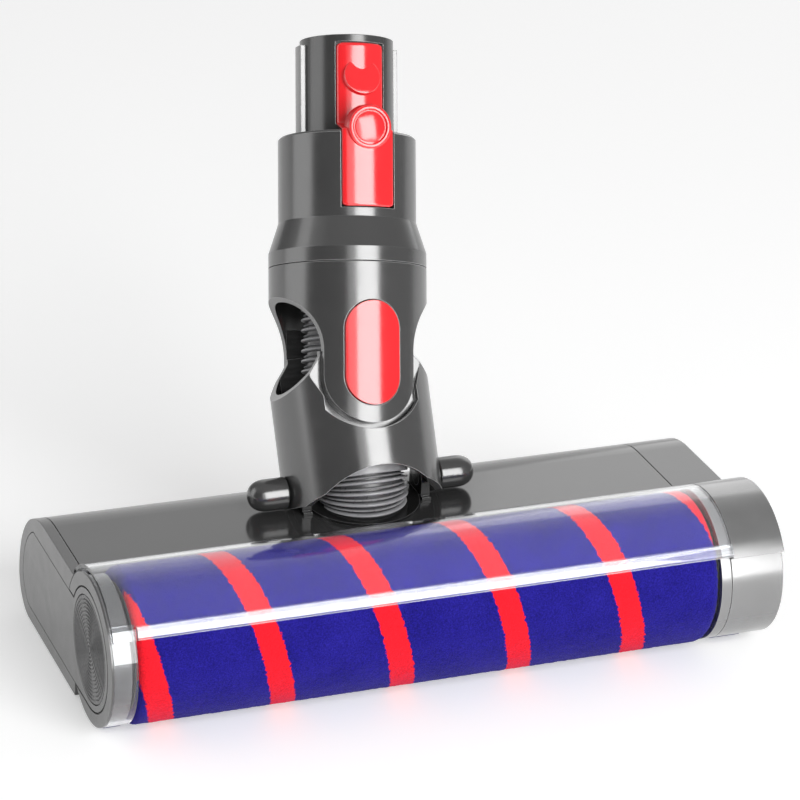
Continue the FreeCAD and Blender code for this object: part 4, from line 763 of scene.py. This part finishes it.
@dataclass
class AirHose:
    """Ribbed air hose: bellows that bend under the yoke, a short smooth cuff and a length up to the duct."""

    major: float = 16.9
    minor: float = 16.0
    root: float = 14.7
    bore: float = 14.2
    pitch: float = 3.65
    low_pitch: float = 2.6
    cuff: float = 17.3
    cuff_low: float = 2.6
    cuff_high: float = 6.4
    bottom: float = -6.6
    top: float = 39.5
    rise: float = 37.0
    upper_start: float = -1.5
    bend_low: float = -5.3
    bend_high: float = 26.0
    lean: float = LEAN

    def ribs(self, start: float, end: float, pitch: float) -> Profile:
        """Outline of rounded ribs, a low one between each two high ones.

        Args:
            start: where the ribs begin.
            end: where they stop.
            pitch: wanted distance from one high rib to the next.

        Returns:
            Outline points from start to end.
        """
        count = max(1, round((end - start) / pitch))
        pitch = (end - start) / count
        outline: Profile = []
        for rib in range(count):
            base = start + pitch * rib
            for share, radius in ((0.0, self.root), (0.12, self.root), (0.19, self.major - 0.5),
                                  (0.25, self.major - 0.1), (0.32, self.major), (0.39, self.major - 0.1),
                                  (0.45, self.major - 0.5), (0.52, self.root), (0.62, self.root),
                                  (0.67, self.minor - 0.35), (0.75, self.minor), (0.83, self.minor - 0.35),
                                  (0.88, self.root)):
                outline.append((base + pitch * share, radius))
        outline.append((end, self.root))
        return outline

    def length(self, outline: Profile) -> bmesh.types.BMesh:
        """Turns an outline into a hose wall with a plain bore, and notes how far each place stands out.

        Args:
            outline: outer outline from the lower to the upper end.

        Returns:
            The length of hose, upright.
        """
        shape = turned([*outline, (outline[-1][0], self.bore), (outline[0][0], self.bore)], Axis.UPWARD, 88)
        layer = shape.verts.layers.float.new("crest")
        for vert in shape.verts:
            radius = math.hypot(vert.co.x, vert.co.y)
            vert[layer] = held((radius - self.root) / (self.minor - self.root))
        return shape

    def bellows(self) -> bmesh.types.BMesh:
        """Low ribs, bent backwards about the tilt pivot so that they fan out in front.

        Returns:
            The bellows in the tilt pivot's upright frame.
        """
        shape = self.length(self.ribs(self.bottom, self.cuff_low, self.low_pitch))
        for vert in shape.verts:
            share = (vert.co.z - self.bottom) / (self.cuff_low - self.bottom)
            vert.co.rotate(Matrix.Rotation(math.radians(-self.lean * share), 3, "X"))
        return shape

    def build(self, shop: Workshop) -> list[bpy.types.Object]:
        """Builds the three lengths; only the middle one is joined to its body, and the other two stay where
        they are built.
        """
        low = shop.piece("bellows_low", self.bellows(), TILT, "hose_grey", 60)
        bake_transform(low)
        cuff = eased([(self.cuff_low, self.root, 0.0), (self.cuff_low, self.cuff, 0.5),
                      (self.cuff_high, self.cuff, 0.8), (self.cuff_high, self.root, 0.0)])
        outline = cuff + self.ribs(self.cuff_high + 0.1, self.rise - 1.0, self.pitch)
        middle = shop.piece("hose_middle", self.length(outline), YOKE, "hose_grey", 60)
        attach(middle, "lower_neck")
        ribbed = self.length(self.ribs(self.upper_start, self.top, self.pitch))
        high = shop.piece("hose_upper", ribbed, NECK, "hose_grey", 60)
        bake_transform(high)
        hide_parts("hose_bellows")
        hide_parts("air_hose")
        return [low, middle, high]


@dataclass
class ReleaseLatch:
    """Rocking latch: a curved plate with rounded ends, a flat catch disc and a ringed, domed button."""

    low_radius: float = 25.3
    high_radius: float = 17.3
    thickness: float = 1.1
    low_half: float = 9.5
    high_half: float = 8.6
    bottom: float = 60.55
    knee_low: float = 88.3
    knee_high: float = 91.2
    top: float = 120.45
    corner: float = 1.6
    rim_width: float = 0.6
    rim_drop: float = 0.35
    cell: float = 0.55
    button_z: float = 88.7
    button_radius: float = 8.0
    button_face: float = 26.6
    button_tilt: float = -7.0
    catch_tilt: float = 12.0
    catch_z: float = 108.4
    catch_radius: float = 6.8
    catch_face: float = 17.9

    def knee(self, z: float) -> float:
        """How far a height is through the step from the collar to the spigot, from 0 to 1."""
        return held((z - self.knee_low) / (self.knee_high - self.knee_low))

    def half_width(self, z: float) -> float:
        """Half the plate's width at a height.

        Args:
            z: height along the neck.

        Returns:
            Half width, with rounded corners at both ends.
        """
        half = self.low_half + (self.high_half - self.low_half) * self.knee(z)
        near = min(z - self.bottom, self.top - z)
        if near < self.corner:
            half -= self.corner - math.sqrt(max(0.0, self.corner ** 2 - (self.corner - near) ** 2))
        return half

    def plate(self) -> bmesh.types.BMesh:
        """The curved plate, stepped inwards from the collar to the spigot under the button.

        Returns:
            The plate with its thickness, in the neck's frame.
        """
        shape = bmesh.new()
        rows = int((self.top - self.bottom) / self.cell)
        bmesh.ops.create_grid(shape, x_segments=36, y_segments=rows, size=0.5)
        for vert in shape.verts:
            z = self.bottom + (vert.co.y + 0.5) * (self.top - self.bottom)
            radius = self.low_radius + (self.high_radius - self.low_radius) * self.knee(z)
            x = vert.co.x * 2.0 * self.half_width(z)
            rim = self.half_width(z) - abs(x)
            near = min(rim, z - self.bottom, self.top - z)
            radius -= self.rim_drop * max(0.0, 1.0 - near / self.rim_width) ** 2
            vert.co = Vector((x, -math.sqrt(radius ** 2 - x ** 2), z))
        bmesh.ops.recalc_face_normals(shape, faces=shape.faces)
        for vert in skirted(shape):
            vert.co.y += self.thickness
        bmesh.ops.contextual_create(shape, geom=rim_of(shape))
        return shape

    def button(self) -> bmesh.types.BMesh:
        """The round button: a rounded ring round a groove and a low dome.

        Returns:
            The button, turned about its own axis.
        """
        face, outer = self.button_face, self.button_radius
        ring = [(face - 5.6, outer), (face - 1.0, outer), (face - 0.35, outer - 0.2),
                (face - 0.05, outer - 0.8), (face, outer - 1.2), (face - 0.1, outer - 1.6),
                (face - 0.5, outer - 1.85), (face - 0.95, outer - 2.0), (face - 0.95, outer - 2.4),
                (face - 0.35, outer - 2.6)]
        dome_radius = outer - 2.6
        dome = [(face - 0.35 + 0.75 * (1.0 - share ** 2), dome_radius * share)
                for share in (0.93, 0.85, 0.75, 0.62, 0.48, 0.33, 0.18)]
        profile = [(-along, radius) for along, radius in [*ring, *dome]] + [(-(face + 0.4), 0.0)]
        shape = turned(profile, Axis.FRONT_TO_BACK, 72, False)
        return self.set_on_neck(shape, self.button_z, self.button_tilt, self.button_face)

    def catch(self) -> bmesh.types.BMesh:
        """The flat catch disc with an eased rim."""
        face, outer = self.catch_face, self.catch_radius
        profile = [(-(face - 1.9), outer), (-(face - 0.4), outer), (-(face - 0.1), outer - 0.15),
                   (-face, outer - 0.45), (-(face - 0.05), outer * 0.5), (-(face - 0.08), 0.0)]
        shape = turned(profile, Axis.FRONT_TO_BACK, 72, False)
        return self.set_on_neck(shape, self.catch_z, self.catch_tilt, self.catch_face)

    def set_on_neck(self, shape: bmesh.types.BMesh, z: float, tilt: float, face: float) -> bmesh.types.BMesh:
        """Tilts a round form about the middle of its face and lifts it along the neck.

        Args:
            shape: the form, turned about the front-to-back axis.
            z: height of its middle along the neck.
            tilt: tilt in degrees, positive where the face looks up.
            face: distance of its face from the neck's axis.

        Returns:
            The same shape, in place.
        """
        turn = Matrix.Rotation(math.radians(-tilt), 3, "X")
        bmesh.ops.rotate(shape, verts=shape.verts, cent=(0, -face, 0), matrix=turn)
        bmesh.ops.translate(shape, verts=shape.verts, vec=(0, 0, z))
        return shape

    def build(self, shop: Workshop) -> list[bpy.types.Object]:
        """Builds and dresses the latch's three forms."""
        made = [
            shop.piece("latch_plate", self.plate(), NECK, "trim_red", 40),
            shop.piece("latch_button", self.button(), NECK, "trim_red", 40),
            shop.piece("latch_catch", self.catch(), NECK, "trim_red", 40),
        ]
        for form in made:
            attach(form, "latch")
        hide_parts("release_latch")
        return made


# Node finishes
NODE_FINISHES: dict[str, tuple[str, ...]] = {
    "cover_grey": ("top_cover", "right_section"),
    "cap_smoke": ("end_cap", "bayonet_ring"),
    "panel_grey": ("left_end_housing", "left_panel", "left_face_ring"),
    "disc_grey": ("left_disc",),
    "neck_grey": ("yoke", "saddle", "collar"),
    "spigot_grey": ("spigot_tube", "plug_housing"),
    "clear_plastic": ("visor",),
    "rail_light": ("rail_left", "rail_right"),
    "black_plastic": ("neck_bracket", "pivot_knob_left", "pivot_knob_right", "roller_bush", "cap_bush",
                      "drive_dog", "brush_bush_left", "brush_bush_right"),
    "chassis_plastic": ("chassis", "sole_plate", "air_duct", "motor_pod"),
    "trim_red": ("release_latch", "pivot_cover_front", "pivot_cover_rear"),
    "pile": ("pile_sleeve", "red_strip"),
    "felt_navy": ("felt_left", "felt_right"),
    "bristle_black": ("brush_bristles",),
    "hose_grey": ("air_hose", "hose_bellows"),
    "duct_white": ("inner_duct",),
    "motor_can": ("motor",),
    "steel": ("drive_shaft", "front_bearing", "swivel_pin_front", "swivel_pin_rear", "latch_pin",
              "latch_spring", "housing_screws", "wheel_axle_left", "wheel_axle_right", "roller_stub"),
    "brass": ("contact_pins",),
    "belt_rubber": ("drive_belt", "wheel_left", "wheel_right"),
    "core_plastic": ("roller_core", "roller_hub", "drive_socket", "brush_spindle", "brush_pulley",
                     "motor_pulley"),
}


@dataclass
class CarriedNodes:
    """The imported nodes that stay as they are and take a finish."""

    finishes: dict[str, tuple[str, ...]] = field(default_factory=lambda: NODE_FINISHES)

    def build(self, shop: Workshop) -> list[bpy.types.Object]:
        """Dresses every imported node."""
        dressed = []
        for finish, nodes in self.finishes.items():
            for node in nodes:
                shop.dress(node, finish)
                dressed.append(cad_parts[node])
        return dressed


# Stage
@dataclass(frozen=True)
class Lamp:
    """A soft lamp, placed by direction from the head's front and by distance from the neck's foot."""

    name: str
    azimuth: float
    elevation: float
    distance: float
    size: tuple[float, float]
    radiance: float

    def hang(self, aim: Vector) -> None:
        """Hangs the lamp.

        Args:
            aim: the point it faces.
        """
        way = direction(self.azimuth, self.elevation)
        lamp = bpy.data.lights.new(self.name, "AREA")
        lamp.shape = "RECTANGLE"
        lamp.size, lamp.size_y = self.size
        lamp.energy = math.pi * self.size[0] * self.size[1] * self.radiance
        holder = stand(self.name, lamp)
        holder.location = aim + way * self.distance
        holder.rotation_euler = way.to_track_quat("Z", "Y").to_euler()
        holder.visible_camera = False


@dataclass
class Studio:
    """Pale floor, white surroundings with a dim room in front, soft lamps and the camera."""

    azimuth: float = -22.07
    elevation: float = 24.5
    roll: float = 2.74
    camera_at: tuple[float, float, float] = (-0.4264, -1.0689, 0.6064)
    focal_pixels: float = 3518.3
    picture_pixels: float = 800.0
    sensor: float = 36.0
    lamp_aim: tuple[float, float, float] = (0.0, -0.01, 0.07)
    floor_half: float = 6.0
    floor_drop: float = 0.0002
    floor_level: float = 0.84
    floor_glow: float = 0.36
    ambient: float = 0.36
    ceiling: float = 0.35
    room: tuple[tuple[float, float], ...] = (
        (-180.0, 0.45), (-145.0, 0.25), (-112.0, 0.7), (-92.0, 0.8), (-80.0, 0.12), (20.0, 0.12),
        (45.0, 0.28), (100.0, 0.3), (118.0, 1.0), (165.0, 1.0), (180.0, 0.45),
    )
    lamps: tuple[Lamp, ...] = (
        Lamp("softbox_front", 13.0, 22.0, 1.7, (0.95, 1.4), 5.4),
        Lamp("softbox_wide", 6.0, 22.0, 1.8, (1.55, 1.5), 1.6),
        Lamp("panel_left", -108.0, 20.0, 1.6, (1.0, 1.3), 0.9),
        Lamp("panel_back", 134.0, 22.0, 1.8, (1.3, 1.2), 0.7),
    )

    def floor(self) -> None:
        """Lays the floor, which shows white to the eye and keeps the head's shadow."""
        w = new_material("pale_floor")
        path = w.add("LightPath").outputs
        seen = w.maths("MAXIMUM", path["Is Camera Ray"], path["Is Glossy Ray"])
        seen = w.maths("MAXIMUM", seen, path["Is Transmission Ray"])
        matt = w.add("BsdfDiffuse", {"Color": (*grey(self.floor_level), 1.0)})
        strength = w.maths("MULTIPLY", seen, self.floor_glow)
        glow = w.add("Emission", {"Color": (1.0, 1.0, 1.0, 1.0), "Strength": strength})
        joined = w.add("AddShader", {0: matt.outputs["BSDF"], 1: glow.outputs["Emission"]})
        material = w.finish(joined.outputs["Shader"])
        shape = bmesh.new()
        bmesh.ops.create_grid(shape, x_segments=1, y_segments=1, size=self.floor_half)
        bmesh.ops.translate(shape, verts=shape.verts, vec=(0, 0, -self.floor_drop))
        mesh = bpy.data.meshes.new("floor")
        shape.to_mesh(mesh)
        shape.free()
        mesh.materials.append(material)
        stand("floor", mesh)

    def surroundings(self) -> None:
        """White to the eye, a dim room in front to gloss, a calm grey as light."""
        world = bpy.data.worlds.new("studio")
        bpy.context.scene.world = world
        w = Wiring(world)
        way = w.add("SeparateXYZ", {"Vector": w.add("TexCoord").outputs["Generated"]}).outputs
        azimuth = w.maths("ARCTAN2", way["X"], w.maths("MULTIPLY", way["Y"], -1.0))
        ramp = w.add("ValToRGB", {"Fac": w.spread(azimuth, 0.0, 1.0, -math.pi, math.pi)})
        stops = ramp.color_ramp.elements
        stops.remove(stops[1])
        for index, (turn, level) in enumerate(self.room):
            stop = stops.new(turn / 360.0 + 0.5) if index else stops[0]
            stop.position = turn / 360.0 + 0.5
            stop.color = (*grey(level), 1.0)
        room = w.spread(way["Z"], ramp.outputs["Color"], self.ceiling, 0.6, 0.9)
        path = w.add("LightPath").outputs
        unseen = w.spread(path["Is Glossy Ray"], self.ambient, room, 0.0, 1.0)
        seen = w.maths("MAXIMUM", path["Is Camera Ray"], path["Is Transmission Ray"])
        strength = w.spread(seen, unseen, 1.0, 0.0, 1.0)
        background = w.add("Background", {"Color": (1.0, 1.0, 1.0, 1.0), "Strength": strength})
        w.finish(background.outputs["Background"], "OutputWorld")

    def light(self) -> None:
        """Hangs the lamps, aimed at the neck's foot."""
        for lamp in self.lamps:
            lamp.hang(Vector(self.lamp_aim))

    def camera(self) -> None:
        """Sets the camera at the photograph's viewing angle."""
        az, roll = math.radians(self.azimuth), math.radians(self.roll)
        back = direction(self.azimuth, self.elevation)
        right = Vector((math.cos(az), math.sin(az), 0.0))
        up = back.cross(right)
        turned_right = right * math.cos(roll) + up * math.sin(roll)
        turned_up = up * math.cos(roll) - right * math.sin(roll)
        lens = bpy.data.cameras.new("view")
        lens.sensor_width = self.sensor
        lens.lens = self.sensor * self.focal_pixels / self.picture_pixels
        lens.clip_start, lens.clip_end = 0.05, 30.0
        holder = stand("view", lens)
        holder.matrix_world = Matrix((
            (turned_right.x, turned_up.x, back.x, self.camera_at[0]),
            (turned_right.y, turned_up.y, back.y, self.camera_at[1]),
            (turned_right.z, turned_up.z, back.z, self.camera_at[2]),
            (0.0, 0.0, 0.0, 1.0),
        ))
        bpy.context.scene.camera = holder

    def build(self) -> None:
        """Builds the whole stage."""
        bpy.context.scene.view_settings.view_transform = "Standard"
        self.floor()
        self.surroundings()
        self.light()
        self.camera()


def main() -> None:
    """Builds the stage and every sub-assembly, and reports each piece."""
    logging.basicConfig(level=logging.INFO, format="%(message)s")
    Studio().build()
    shop = Workshop()
    for kind in (CarriedNodes, PileRoller, ClearVisor, LeftDisc, PivotKnobs, AirHose, ReleaseLatch):
        for made in kind().build(shop):
            log.info("%s: %s, %d faces", kind.__name__, made.name, len(made.data.polygons))


if __name__ == "__main__":
    main()
